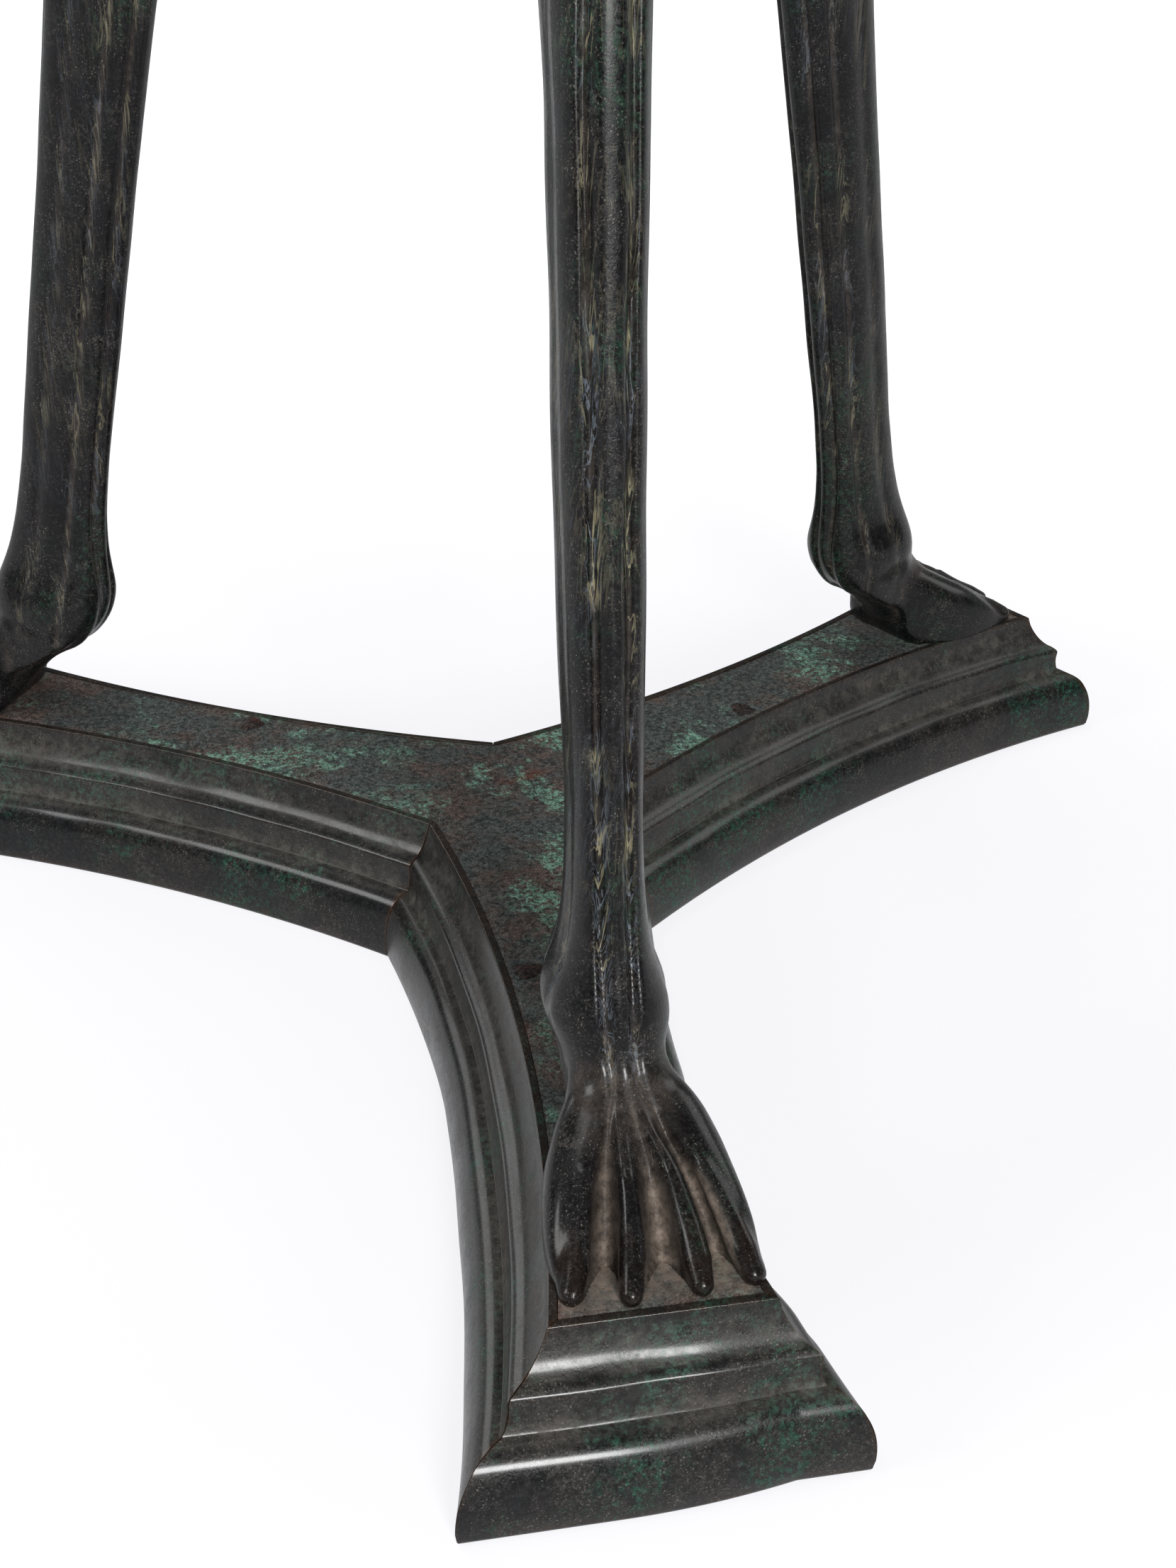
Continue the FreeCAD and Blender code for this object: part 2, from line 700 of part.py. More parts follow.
def pastern():
    """Return the pastern and the pads under it."""
    ankle = worked(ANKLE_RADIUS)
    sections = []
    for along, rise, depth_share, width_share, tilt in PASTERN_STATIONS:
        height = size("base_height") + rise * size("ankle_height")
        place = (ankle + along * size("paw_reach"), height, 0.0)
        half_depth = 0.5 * depth_share * size("ankle_depth")
        half_width = 0.5 * width_share * size("paw_width")
        sections.append(oval(*place, half_depth, half_width, tilt, 12))
    return faceted(sections)


def build_paw(arm, angle):
    """Model a lion's paw standing on the sheet, with the spigot that the shank fits over."""
    ankle = worked(ANKLE_RADIUS)
    floor = size("base_height")
    shape = pastern().fuse([toe(spread) for spread in TOE_SPREADS])
    span = 4 * size("paw_reach")
    below = upright_bar(span, floor, ankle, 0.0)
    shape = shape.cut(below)
    start = worked(ANKLE) - 0.5 * size("spigot_width")
    length = 0.5 * size("spigot_width") + size("spigot_length")
    shape = shape.fuse(upright_bar(size("spigot_width"), length, ankle, start))
    hole = size("dowel_width") + 2 * size("fixing_clearance")
    socket_top = size("dowel_in_paw") + size("fixing_clearance")
    shape = shape.cut(upright_bar(hole, 2 * socket_top, worked(dowel_radius_place()), floor - socket_top))
    return add_cast_piece(f"paw_{arm}", shape, angle)


def blend(low, high, share):
    """Return a value between two, eased at both ends."""
    share = min(max(share, 0.0), 1.0)
    return low + (high - low) * share * share * (3 - 2 * share)


def shank_axis(level):
    """Return how far out the shank's straight axis is at a height."""
    ankle = worked(ANKLE_RADIUS)
    share = (level - worked(ANKLE)) / size("shank_rise")
    return ankle + share * (size("hock_radius") - ankle)


def shank_section(above):
    """Return the shank's section at a height above the ankle."""
    full = size("shank_rise") - 0.5 * size("band_height")
    share = above / full
    level = worked(ANKLE) + above
    if share < 0.5:
        depth = blend(size("knuckle_depth"), size("shank_depth"), (above - 6) / 40)
        width = blend(size("knuckle_width"), size("shank_width"), (above - 10) / 34)
        groove = blend(0.0, size("groove_depth"), (above - 10) / 50)
    else:
        depth = blend(size("shank_depth"), size("hock_depth"), 2 * share - 1)
        width = blend(size("shank_width"), size("hock_width"), 2 * share - 1)
        groove = blend(size("groove_depth"), 0.0, (share - 0.6) / 0.36)
    return limb_section(shank_axis(level), level, depth, width, groove)


def build_shank(arm, angle):
    """Model the shank from the knuckle, which sits on the paw's neck, to the hock."""
    rise = size("shank_rise")
    band_foot = rise - 0.5 * size("band_height")
    heights = [0.0, 9.0, 20.0, 34.0, 56.0, 0.45 * rise, 0.66 * rise, 0.84 * rise, band_foot, rise]
    shape = faceted([shank_section(above) for above in heights])
    clearance = size("spigot_clearance")
    width = size("spigot_width") + 2 * clearance
    depth = size("spigot_length") + clearance
    foot = worked(ANKLE)
    head = worked(HOCK)
    shape = shape.cut(upright_bar(width, 2 * depth, shank_axis(foot), foot - depth))
    shape = shape.cut(upright_bar(width, 2 * depth, shank_axis(head), head - depth))
    seat = worked(TIE_SEAT)
    flange = size("tie_flange_width") + 2 * clearance
    shape = shape.cut(level_bar(flange, size("hock_depth"), seat - size("hock_depth"), worked(TIE_HEIGHT)))
    tenon = size("tie_tenon") + clearance
    mortise = size("tie_width") + 2 * clearance
    shape = shape.cut(level_bar(mortise, 2 * tenon, seat - tenon, worked(TIE_HEIGHT)))
    return add_cast_piece(f"shank_{arm}", shape, angle)


# Where a tie bar meets the inner side of a shank, a little under the hock.
TIE_HEIGHT = f"({HOCK} - {cell('tie_drop')})"
TIE_SEAT = (
    f"({cell('hock_radius')} - 0.5 * {cell('hock_depth')} + {cell('tie_seat_depth')}"
    f" + ({ANKLE_RADIUS} - {cell('hock_radius')}) * {cell('tie_drop')} / {cell('shank_rise')})"
)


def thigh_axis(share):
    """Return a point and the outward lean of the thigh's axis, from the band to the crown."""
    start_up = worked(HOCK) + 0.5 * size("band_height")
    rise = worked(CROWN) - start_up
    slope = (size("hock_radius") - worked(ANKLE_RADIUS)) / size("shank_rise")
    start_out = size("hock_radius") + 0.5 * slope * size("band_height")
    head_out = size("hoop_radius")
    outs = (start_out, start_out + 0.32 * slope * rise, head_out + 8.0, head_out)
    ups = (start_up, start_up + 0.32 * rise, start_up + 0.60 * rise, start_up + rise)
    rest = 1 - share
    weights = (rest ** 3, 3 * rest * rest * share, 3 * rest * share * share, share ** 3)
    slopes = (-3 * rest * rest, 3 * rest * (rest - 2 * share), 3 * share * (2 * rest - share), 3 * share ** 2)
    outward = sum(weight * out for weight, out in zip(weights, outs))
    height = sum(weight * up for weight, up in zip(weights, ups))
    run = sum(way * out for way, out in zip(slopes, outs))
    climb = sum(way * up for way, up in zip(slopes, ups))
    eased = min(1.0, 5 * share, 5 * (1 - share))
    return outward, height, eased * math.degrees(math.atan2(run, climb))


def build_thigh(arm, angle):
    """Model the upper leg, bent outward like an animal's, from the hock to the capital."""
    hock = worked(HOCK)
    hock_out = size("hock_radius")
    sections = [limb_section(hock_out, hock, size("hock_depth"), size("hock_width"))]
    for share in (0.0, 0.1, 0.22, 0.36, 0.52, 0.68, 0.84, 1.0):
        outward, height, lean = thigh_axis(share)
        if share < 0.34:
            depth = blend(size("hock_depth"), size("thigh_depth"), share / 0.34)
            width = blend(size("hock_width"), size("thigh_width"), share / 0.34)
        else:
            depth = blend(size("thigh_depth"), size("crown_depth"), (share - 0.34) / 0.6)
            width = blend(size("thigh_width"), size("crown_width"), (share - 0.34) / 0.6)
        groove = size("groove_depth") * math.sin(math.pi * share)
        sections.append(limb_section(outward, height, depth, width, groove, lean))
    shape = faceted(sections)
    length = size("spigot_length")
    shape = shape.fuse(upright_bar(size("spigot_width"), 1.2 * length, hock_out, hock - length))
    clearance = size("spigot_clearance")
    width = size("capital_tenon_width") + 2 * clearance
    depth = size("capital_tenon_down") + clearance
    shape = shape.cut(upright_bar(width, 2 * depth, size("hoop_radius"), worked(CROWN) - depth))
    return add_cast_piece(f"thigh_{arm}", shape, angle)


def build_hock_band(arm, angle):
    """Model the band that covers the joint between a shank and a thigh."""
    clearance = size("band_clearance")
    wall = size("band_thickness")
    hock = worked(HOCK)
    half = 0.5 * size("band_height")
    inner = []
    outer = []
    for rise, swell in ((-half, 0.55), (0.0, 1.0), (half, 0.55)):
        level = hock + rise
        for ring, spare in ((inner, clearance), (outer, clearance + swell * wall)):
            depth = size("hock_depth") + 2 * spare
            width = size("hock_width") + 2 * spare
            ring.append(limb_section(shank_axis(level), level, depth, width))
    shape = faceted(outer).cut(faceted(inner))
    return add_cast_piece(f"hock_band_{arm}", shape, angle)


def build_tie_bar(arm, angle):
    """Model a square bar from the tie hub to the inner side of a shank, with its flange."""
    body = start_body(f"tie_bar_{arm}")
    inner = f"({cell('tie_hub_radius')} - {cell('tie_in_hub')})"
    section = add_sketch(body, f"{body.Name}_section", "YZ_Plane", inner)
    add_square(section, ("0", TIE_HEIGHT), cell("tie_width"))
    pad(body, f"{body.Name}_bar", section, f"{TIE_SEAT} + {cell('tie_tenon')} - {inner}")
    start = f"({TIE_SEAT} - {cell('tie_flange_thickness')})"
    flange = add_sketch(body, f"{body.Name}_flange_outline", "YZ_Plane", start)
    add_square(flange, ("0", TIE_HEIGHT), cell("tie_flange_width"))
    pad(body, f"{body.Name}_flange", flange, cell("tie_flange_thickness"))
    place_body(body, "0", "0", "0", angle)
    return register(body, body.Name)


def add_hexagon(sketch, apothem):
    """Draw a hexagon about the sketch's origin with two of its sides square to the X axis."""
    corners = []
    for step in range(6):
        turn = 60 * step + 30
        corners.append((f"{apothem} * cos({turn}) / cos(30)", f"{apothem} * sin({turn}) / cos(30)"))
    add_outline(sketch, corners[0], corners[1:] + corners[:1])


def build_tie_hub():
    """Model the pierced six-sided hub that the three tie bars meet in."""
    body = start_body("tie_hub")
    foot = f"({TIE_HEIGHT} - {cell('tie_hub_height')} / 2)"
    outline = add_sketch(body, "tie_hub_outline", "XY_Plane", foot)
    add_hexagon(outline, cell("tie_hub_radius"))
    add_hexagon(outline, f"({cell('tie_hub_radius')} - {cell('tie_hub_wall')})")
    pad(body, "tie_hub_block", outline, cell("tie_hub_height"))
    clearance = cell("spigot_clearance")
    floor = f"({cell('tie_hub_radius')} - {cell('tie_in_hub')} - {clearance})"
    mortise = add_sketch(body, "tie_hub_mortise_outline", "YZ_Plane", floor)
    add_square(mortise, ("0", TIE_HEIGHT), f"{cell('tie_width')} + 2 * {clearance}")
    cut = pocket(body, "tie_hub_mortise", mortise, f"2 * {cell('tie_in_hub')}", reversed_way=True)
    three_times(body, "tie_hub_mortises", [cut])
    place_body(body, "0", "0", "0", ARMS["front"])
    return register(body, "tie_hub")


# Stations of a capital: share of its height and share of its half width.
CAPITAL_STATIONS = (
    (0.00, 0.71),
    (0.13, 0.71),
    (0.20, 0.56),
    (0.55, 0.64),
    (0.84, 0.92),
    (0.84, 1.00),
    (1.00, 1.00),
)


def build_capital(arm, angle):
    """Model an eight-sided bell between a thigh and the hoop, with a tenon at each end."""
    outward = size("hoop_radius")
    foot = worked(CROWN)
    tall = size("capital_height")
    sections = []
    for rise, share in CAPITAL_STATIONS:
        half = share * size("capital_half_width") / math.cos(math.pi / 8)
        sections.append(oval(outward, foot + rise * tall, 0.0, half, half, 0.0, 8))
    shape = faceted(sections)
    down = size("capital_tenon_down")
    length = down + tall + size("capital_tenon_up")
    shape = shape.fuse(upright_bar(size("capital_tenon_width"), length, outward, foot - down))
    return add_cast_piece(f"capital_{arm}", shape, angle)


def ring_section(body, low, high, width):
    """Draw the rectangular section of a ring of the hoop."""
    inner = f"({cell('hoop_radius')} - {width} / 2)"
    outer = f"({cell('hoop_radius')} + {width} / 2)"
    section = add_sketch(body, f"{body.Name}_section", "XZ_Plane")
    corners = [(inner, low), (outer, low), (outer, high), (inner, high)]
    add_outline(section, corners[0], corners[1:] + corners[:1])
    return section


def build_hoop_foot():
    """Model the hoop's lower ring, which rests on the capitals."""
    body = start_body("hoop_foot")
    section = ring_section(body, HOOP_FOOT, HOOP_BAND, cell("hoop_foot_width"))
    revolve(body, "hoop_foot_turned", section)
    document.recompute()
    mortise = add_sketch(body, "hoop_foot_mortise_outline", "XY_Plane", HOOP_FOOT)
    clearance = cell("spigot_clearance")
    width = f"{cell('capital_tenon_width')} + 2 * {clearance}"
    add_square(mortise, (cell("hoop_radius"), "0"), width)
    deep = f"{cell('capital_tenon_up')} + {clearance}"
    cut = pocket(body, "hoop_foot_mortise", mortise, deep, reversed_way=True)
    three_times(body, "hoop_foot_mortises", [cut])
    place_body(body, "0", "0", "0", ARMS["front"])
    return register(body, "hoop_foot")


def build_hoop_band():
    """Model the plain band between the hoop's two rings."""
    body = start_body("hoop_band")
    section = ring_section(body, HOOP_BAND, HOOP_HEAD, cell("hoop_band_thickness"))
    revolve(body, "hoop_band_turned", section)
    return register(body, "hoop_band")


def build_hoop_head():
    """Model the hoop's upper ring, which carries the bowl's rim."""
    body = start_body("hoop_head")
    section = ring_section(body, HOOP_HEAD, HOOP_TOP, cell("hoop_head_width"))
    revolve(body, "hoop_head_turned", section)
    return register(body, "hoop_head")


def build_bowl():
    """Model the shallow bowl that lifts out of the hoop, raised in broad conical runs."""
    body = start_body("bowl")
    half_head = f"{cell('hoop_head_width')} / 2"
    radius = f"({cell('hoop_radius')} - {half_head} - {cell('bowl_clearance')})"
    edge = f"({cell('hoop_radius')} + {half_head} + {cell('bowl_rim_overhang')})"
    seat = f"({HOOP_TOP} + {cell('bowl_seat_clearance')})"
    lip = f"({seat} + {cell('bowl_rim_thickness')})"
    depth = cell("bowl_depth")
    outer = f"(({radius}^2 + {depth}^2) / (2 * {depth}))"
    centre = f"({seat} - {depth} + {outer})"
    shrink = f"(1 - {cell('bowl_wall')} / {outer})"

    def outside(share):
        reach = f"{share} * {radius}"
        return reach, f"{centre} - sqrt({outer}^2 - ({reach})^2)"

    def inside(share):
        reach, height = outside(share)
        return f"{reach} * {shrink}", f"{centre} - ({centre} - ({height})) * {shrink}"

    inner_lip = f"sqrt(({outer} * {shrink})^2 - ({centre} - {lip})^2)"
    section = add_sketch(body, "bowl_section", "XZ_Plane")
    low = outside(0.32)
    mid = outside(0.68)
    inner_low = inside(0.32)
    start = ("0", low[1])
    add_outline(section, start, [
        low,
        mid,
        (radius, seat),
        (edge, seat),
        (edge, lip),
        (inner_lip, lip),
        inside(0.68),
        inner_low,
        ("0", inner_low[1]),
        start,
    ])
    revolve(body, "bowl_turned", section)
    return register(body, "bowl")


def check_document():
    """Stop if any object failed, or if a piece has no valid solid."""
    document.recompute()
    for item in document.Objects:
        if "Invalid" in item.State or "Error" in item.State:
            raise RuntimeError(f"{item.Name} is {item.State}")
    for piece in pieces:
        if piece.Shape.isNull() or not piece.Shape.isValid() or not piece.Shape.Solids:
            raise RuntimeError(f"{piece.Label} has no valid solid")


def export_pieces():
    """Write each piece to a file of its own, named by its label."""
    os.makedirs("parts", exist_ok=True)
    for piece in pieces:
        piece.Shape.exportStep(f"parts/{piece.Label}.step")
        print(f"{piece.Label}: {len(piece.Shape.Solids)} solid(s), {piece.Shape.Volume:.0f} mm3")


def main():
    """Build every piece, check the document and write the files."""
    fill_sheet()
    build_base_plate()
    for hand, side in HANDS.items():
        strips = [build_side_moulding(arm, angle, hand, side) for arm, angle in ARMS.items()]
        if side < 0:
            for strip in strips:
                pierce_ledge(strip)
        join(f"side_mouldings_{hand}", strips)
    join("end_mouldings", [build_end_moulding(arm, angle) for arm, angle in ARMS.items()])
    build_rivets()
    build_foot_dowels()
    build_foot_washers()
    build_foot_wedges()
    for arm, angle in ARMS.items():
        build_paw(arm, angle)
        build_shank(arm, angle)
        build_thigh(arm, angle)
        build_hock_band(arm, angle)
        build_tie_bar(arm, angle)
        build_capital(arm, angle)
    build_tie_hub()
    build_hoop_foot()
    build_hoop_band()
    build_hoop_head()
    build_bowl()
    check_document()
    export_pieces()


main()
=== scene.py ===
"""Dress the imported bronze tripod: cast mouldings, lion-footed legs, hoop and lift-out bowl.

Lengths in the classes are millimetres in the frame of the part; meshes are written in metres.
An arm's own frame has its first axis outward, its second to the left of the arm, its third up.
"""

import logging
import math
from dataclasses import dataclass, field
from enum import Enum

import bmesh
import bpy
import numpy as np
from mathutils import Matrix, Vector


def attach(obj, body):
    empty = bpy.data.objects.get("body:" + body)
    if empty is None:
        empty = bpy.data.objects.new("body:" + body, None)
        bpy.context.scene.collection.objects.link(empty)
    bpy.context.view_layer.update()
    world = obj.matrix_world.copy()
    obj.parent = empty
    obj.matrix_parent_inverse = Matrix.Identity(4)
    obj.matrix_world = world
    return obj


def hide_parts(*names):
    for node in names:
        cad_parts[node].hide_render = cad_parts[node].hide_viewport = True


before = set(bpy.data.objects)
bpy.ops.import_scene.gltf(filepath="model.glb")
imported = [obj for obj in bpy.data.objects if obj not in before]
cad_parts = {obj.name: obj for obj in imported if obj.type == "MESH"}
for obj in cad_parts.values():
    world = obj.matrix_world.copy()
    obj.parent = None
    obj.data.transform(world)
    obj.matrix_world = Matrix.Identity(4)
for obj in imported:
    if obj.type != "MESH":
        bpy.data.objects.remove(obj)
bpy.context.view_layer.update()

logging.basicConfig(level=logging.INFO, format="%(message)s")
report = logging.getLogger("tripod")

Point = tuple[float, float]
Colour = tuple[float, float, float, float]
Socket = bpy.types.NodeSocket
Shell = tuple[np.ndarray, list[list[int]]]

METRES = 0.001

# Sizes that several classes share.
PLATE_TOP = 51.0
HOCK_HEIGHT = 440.0
HOCK_RADIUS = 118.0
HOCK_HALF_DEPTH = 26.0
HOCK_HALF_WIDTH = 15.0
SHANK_LEAN = 0.208
ANKLE_RADIUS = 190.4
THIGH_TOP = 756.0
HOOP_RADIUS = 200.0
SQUARENESS = 2.25

# How strongly hollows gather dust and ridges are rubbed.
DUST_GAIN = 9.0
WEAR_GAIN = 1.2
WEAR_START = 0.15
WEAR_LIMIT = 0.35
LEG_DUST = 0.15


class Body(Enum):
    """The two bodies that pieces ride on."""

    STAND = "stand"
    BOWL = "bowl"


class Slot(Enum):
    """The record's material slots."""

    MOULDING = "moulding_bronze"
    SHEET = "sheet_bronze"
    LEG = "leg_bronze"
    BOWL = "bowl_bronze"
    IRON = "iron"


class Mask(Enum):
    """Values from 0 to 1 that a mesh carries at its vertices for its material."""

    DUST = "dust"
    WEAR = "wear"
    VEIN = "vein"


@dataclass(frozen=True)
class Arm:
    """One arm of the tripod: its name and its direction in degrees."""

    name: str
    angle: float


ARMS = (Arm("front", -90.0), Arm("right", 30.0), Arm("left", 150.0))


# ---------------------------------------------------------------- mesh tools


def turned(points: np.ndarray, angle: float) -> np.ndarray:
    """Turn points about the tripod's axis.

    Args:
        points: rows of x, y, z.
        angle: degrees, counter-clockwise from above.

    Returns:
        The turned rows.
    """
    cosine, sine = math.cos(math.radians(angle)), math.sin(math.radians(angle))
    turn = np.array([[cosine, sine, 0.0], [-sine, cosine, 0.0], [0.0, 0.0, 1.0]])
    return points @ turn


def ripple(points: np.ndarray, wavelength: float, seed: int) -> np.ndarray:
    """Give a smooth random value between about -1 and 1 at each point.

    Args:
        points: rows of x, y, z in millimetres.
        wavelength: the usual distance between two crests.
        seed: the number that the random directions start from.

    Returns:
        One value a row.
    """
    draw = np.random.default_rng(seed)
    total = np.zeros(len(points))
    waves = 7
    for _ in range(waves):
        way = draw.normal(size=3)
        way *= 2 * math.pi / (wavelength * draw.uniform(0.7, 1.5) * np.linalg.norm(way))
        total += np.sin(points @ way + draw.uniform(0, 2 * math.pi))
    return total / math.sqrt(waves) / 1.4


def eased(low: float, high: float, value: np.ndarray) -> np.ndarray:
    """Rise smoothly from 0 at low to 1 at high."""
    share = np.clip((value - low) / (high - low), 0.0, 1.0)
    return share * share * (3 - 2 * share)


def hill(value: np.ndarray, middle: np.ndarray | float, width: float) -> np.ndarray:
    """Return a soft hill: 1 at its middle and almost 0 at twice its width from there.

    Args:
        value: the numbers to look at.
        middle: where the hill is.
        width: how wide it is.

    Returns:
        One share a number.
    """
    return np.exp(-((value - middle) / width) ** 2)


def full_turn(count: int) -> np.ndarray:
    """Return the angles of even steps once round, in radians."""
    return np.linspace(0, 2 * math.pi, count, endpoint=False)


def oval(turn: np.ndarray) -> tuple[np.ndarray, np.ndarray]:
    """Return the two coordinates, from -1 to 1, of the legs' squarish oval at each angle."""
    reach = (np.abs(np.cos(turn)) ** SQUARENESS + np.abs(np.sin(turn)) ** SQUARENESS) ** (-1 / SQUARENESS)
    return reach * np.cos(turn), reach * np.sin(turn)


def softly(value: np.ndarray, places: tuple, numbers: tuple, blur: float) -> np.ndarray:
    """Read a table between its entries, with its bends smoothed over a distance.

    Args:
        value: the places to read it at.
        places: the places of its entries.
        numbers: its entries.
        blur: the smoothing distance.

    Returns:
        One number a place.
    """
    shifts = ((-1.4, 0.12), (-0.7, 0.23), (0.0, 0.3), (0.7, 0.23), (1.4, 0.12))
    return sum(weight * np.interp(value + blur * shift, places, numbers) for shift, weight in shifts)


def grid_faces(rows: int, columns: int, wrap: bool = False) -> np.ndarray:
    """Give the quads of a grid of vertices.

    Args:
        rows: how many rows of vertices there are.
        columns: how many vertices a row has.
        wrap: whether each row closes on itself.

    Returns:
        Rows of four vertex numbers.
    """
    steps = np.arange(columns if wrap else columns - 1)
    row, column = np.meshgrid(np.arange(rows - 1), steps, indexing="ij")
    after = (column + 1) % columns
    first = row * columns
    second = first + columns
    return np.stack([first + column, first + after, second + after, second + column], -1).reshape(-1, 4)


def ring_faces(around: int, count: int) -> list[list[int]]:
    """Give the quads of a closed outline carried once round an axis.

    Args:
        around: how many steps the way round has.
        count: how many points the outline has.

    Returns:
        Lists of four vertex numbers.
    """
    last = (around - 1) * count
    seam = [[last + i, last + (i + 1) % count, (i + 1) % count, i] for i in range(count)]
    return grid_faces(around, count, wrap=True).tolist() + seam


def read_rows(items: bpy.types.bpy_prop_collection, label: str, width: int, kind: type = float) -> np.ndarray:
    """Read one property of a mesh's vertices or edges.

    Args:
        items: the vertices or edges.
        label: the property's name.
        width: how many numbers one of them has.
        kind: the numbers' type.

    Returns:
        Rows of numbers.
    """
    numbers = np.empty(len(items) * width, dtype=kind)
    items.foreach_get(label, numbers)
    return numbers.reshape(-1, width)


def hollowness(mesh: bpy.types.Mesh, rounds: int) -> np.ndarray:
    """Measure how hollow the surface is at each vertex, in 1/mm, spread over its neighbours.

    Args:
        mesh: a mesh in metres with its normals pointing outward.
        rounds: how many times the values are averaged with the neighbours' values.

    Returns:
        One value a vertex: above 0 in hollows and below 0 on ridges.
    """
    count = len(mesh.vertices)
    points = read_rows(mesh.vertices, "co", 3) / METRES
    normals = read_rows(mesh.vertices, "normal", 3)
    start, end = read_rows(mesh.edges, "vertices", 2, np.int64).T
    span = points[end] - points[start]
    length = np.maximum((span ** 2).sum(1), 1e-6)
    bend = np.bincount(start, (normals[start] * span).sum(1) / length, count)
    bend += np.bincount(end, -(normals[end] * span).sum(1) / length, count)
    degree = np.maximum(np.bincount(start, minlength=count) + np.bincount(end, minlength=count), 1)
    bend /= degree
    for _ in range(rounds):
        near = np.bincount(start, bend[end], count) + np.bincount(end, bend[start], count)
        bend = 0.5 * bend + 0.5 * near / degree
    return 2 * bend


def placed(name: str, data: bpy.types.ID) -> bpy.types.Object:
    """Put new data in the scene as an object.

    Args:
        name: the object's name.
        data: its mesh, lamp or camera.

    Returns:
        The new object.
    """
    thing = bpy.data.objects.new(name, data)
    bpy.context.scene.collection.objects.link(thing)
    return thing


def add_piece(
    name: str,
    points: np.ndarray,
    faces: list[list[int]],
    finish: "Finish",
    body: Body = Body.STAND,
    replaced: tuple[str, ...] = (),
    masks: dict[Mask, np.ndarray] | None = None,
    sharp: float = 40.0,
    spread: int = 3,
    dusty: float = 1.0,
) -> bpy.types.Object:
    """Make one piece of the object from points and faces.

    Args:
        name: the piece's name.
        points: rows of x, y, z in millimetres, in the part's frame.
        faces: lists of vertex numbers.
        finish: the finish it is dressed in.
        body: the body that it rides on.
        replaced: the CAD nodes that it stands for.
        masks: values that its material reads, beside those found from its shape.
        sharp: edges bent by more than this angle in degrees stay crisp.
        spread: how far the dust and wear found from the shape reach, in edges.
        dusty: how much dust lies in its hollows.

    Returns:
        The new object.
    """
    mesh = bpy.data.meshes.new(name)
    mesh.from_pydata((points * METRES).tolist(), [], [list(map(int, face)) for face in faces])
    work = bmesh.new()
    work.from_mesh(mesh)
    bmesh.ops.recalc_face_normals(work, faces=work.faces)
    work.to_mesh(mesh)
    work.free()
    mesh.polygons.foreach_set("use_smooth", [True] * len(mesh.polygons))
    mesh.set_sharp_from_angle(angle=math.radians(sharp))
    bend = hollowness(mesh, spread)
    values = {
        Mask.DUST: dusty * np.clip(bend * DUST_GAIN, 0, 1),
        Mask.WEAR: np.clip(-bend * WEAR_GAIN - WEAR_START, 0, WEAR_LIMIT),
        Mask.VEIN: np.zeros(len(points)),
    }
    for mask, extra in (masks or {}).items():
        values[mask] = np.clip(values[mask] + extra, 0, 1)
    for mask, numbers in values.items():
        layer = mesh.attributes.new(mask.value, "FLOAT", "POINT")
        layer.data.foreach_set("value", numbers.astype(np.float32))
    mesh.materials.append(finish.material())
    piece = placed(name, mesh)
    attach(piece, body.value)
    if replaced:
        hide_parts(*replaced)
    report.info("%s: %d vertices", name, len(points))
    return piece


def add_to_arms(
    name: str, node: str, points: np.ndarray, faces: list[list[int]], finish: "Finish", spread: int = 3,
) -> None:
    """Add the same piece at each arm, for that arm's own CAD node.

    Args:
        name: how the pieces' names start.
        node: how the CAD nodes' names start.
        points: rows of x, y, z in an arm's own frame.
        faces: lists of vertex numbers.
        finish: the finish they are dressed in.
        spread: how far dust and wear reach, in edges.
    """
    for arm in ARMS:
        cast = turned(points, arm.angle)
        nodes = (f"{node}_{arm.name}",)
        add_piece(f"{name}_{arm.name}", cast, faces, finish, replaced=nodes, spread=spread)


def rounded(corners: list[Point], radius: float, closed: bool = True, cuts: int = 4) -> np.ndarray:
    """Round the sharp corners of an outline.

    Args:
        corners: the outline's corners.
        radius: how far from a corner its rounding starts.
        closed: whether the last corner joins the first.
        cuts: how many points a rounding has, less one.

    Returns:
        Rows of the outline's points.
    """
    points = np.array(corners, dtype=float)
    result = []
    count = len(points)
    for index, corner in enumerate(points):
        if not closed and index in (0, count - 1):
            result.append(corner)
            continue
        before, after = points[index - 1] - corner, points[(index + 1) % count] - corner
        reach = [np.linalg.norm(before), np.linalg.norm(after)]
        straight = -before @ after / (reach[0] * reach[1])
        if straight > math.cos(math.radians(18)):
            result.append(corner)
            continue
        run = min(radius, 0.45 * reach[0], 0.45 * reach[1])
        first, last = corner + before / reach[0] * run, corner + after / reach[1] * run
        for step in np.linspace(0, 1, cuts + 1):
            result.append((1 - step) ** 2 * first + 2 * step * (1 - step) * corner + step ** 2 * last)
    return np.array(result)


def bow(start: Point, middle: Point, end: Point, count: int) -> list[Point]:
    """Give points along a smooth bow through three points, both ends included.

    Args:
        start: its first point.
        middle: the point half way along it.
        end: its last point.
        count: how many points to give.

    Returns:
        The points in order.
    """
    pull = [2 * m - 0.5 * (s + e) for s, m, e in zip(start, middle, end)]
    return [
        tuple((1 - t) ** 2 * s + 2 * t * (1 - t) * p + t * t * e for s, p, e in zip(start, pull, end))
        for t in np.linspace(0, 1, count)
    ]


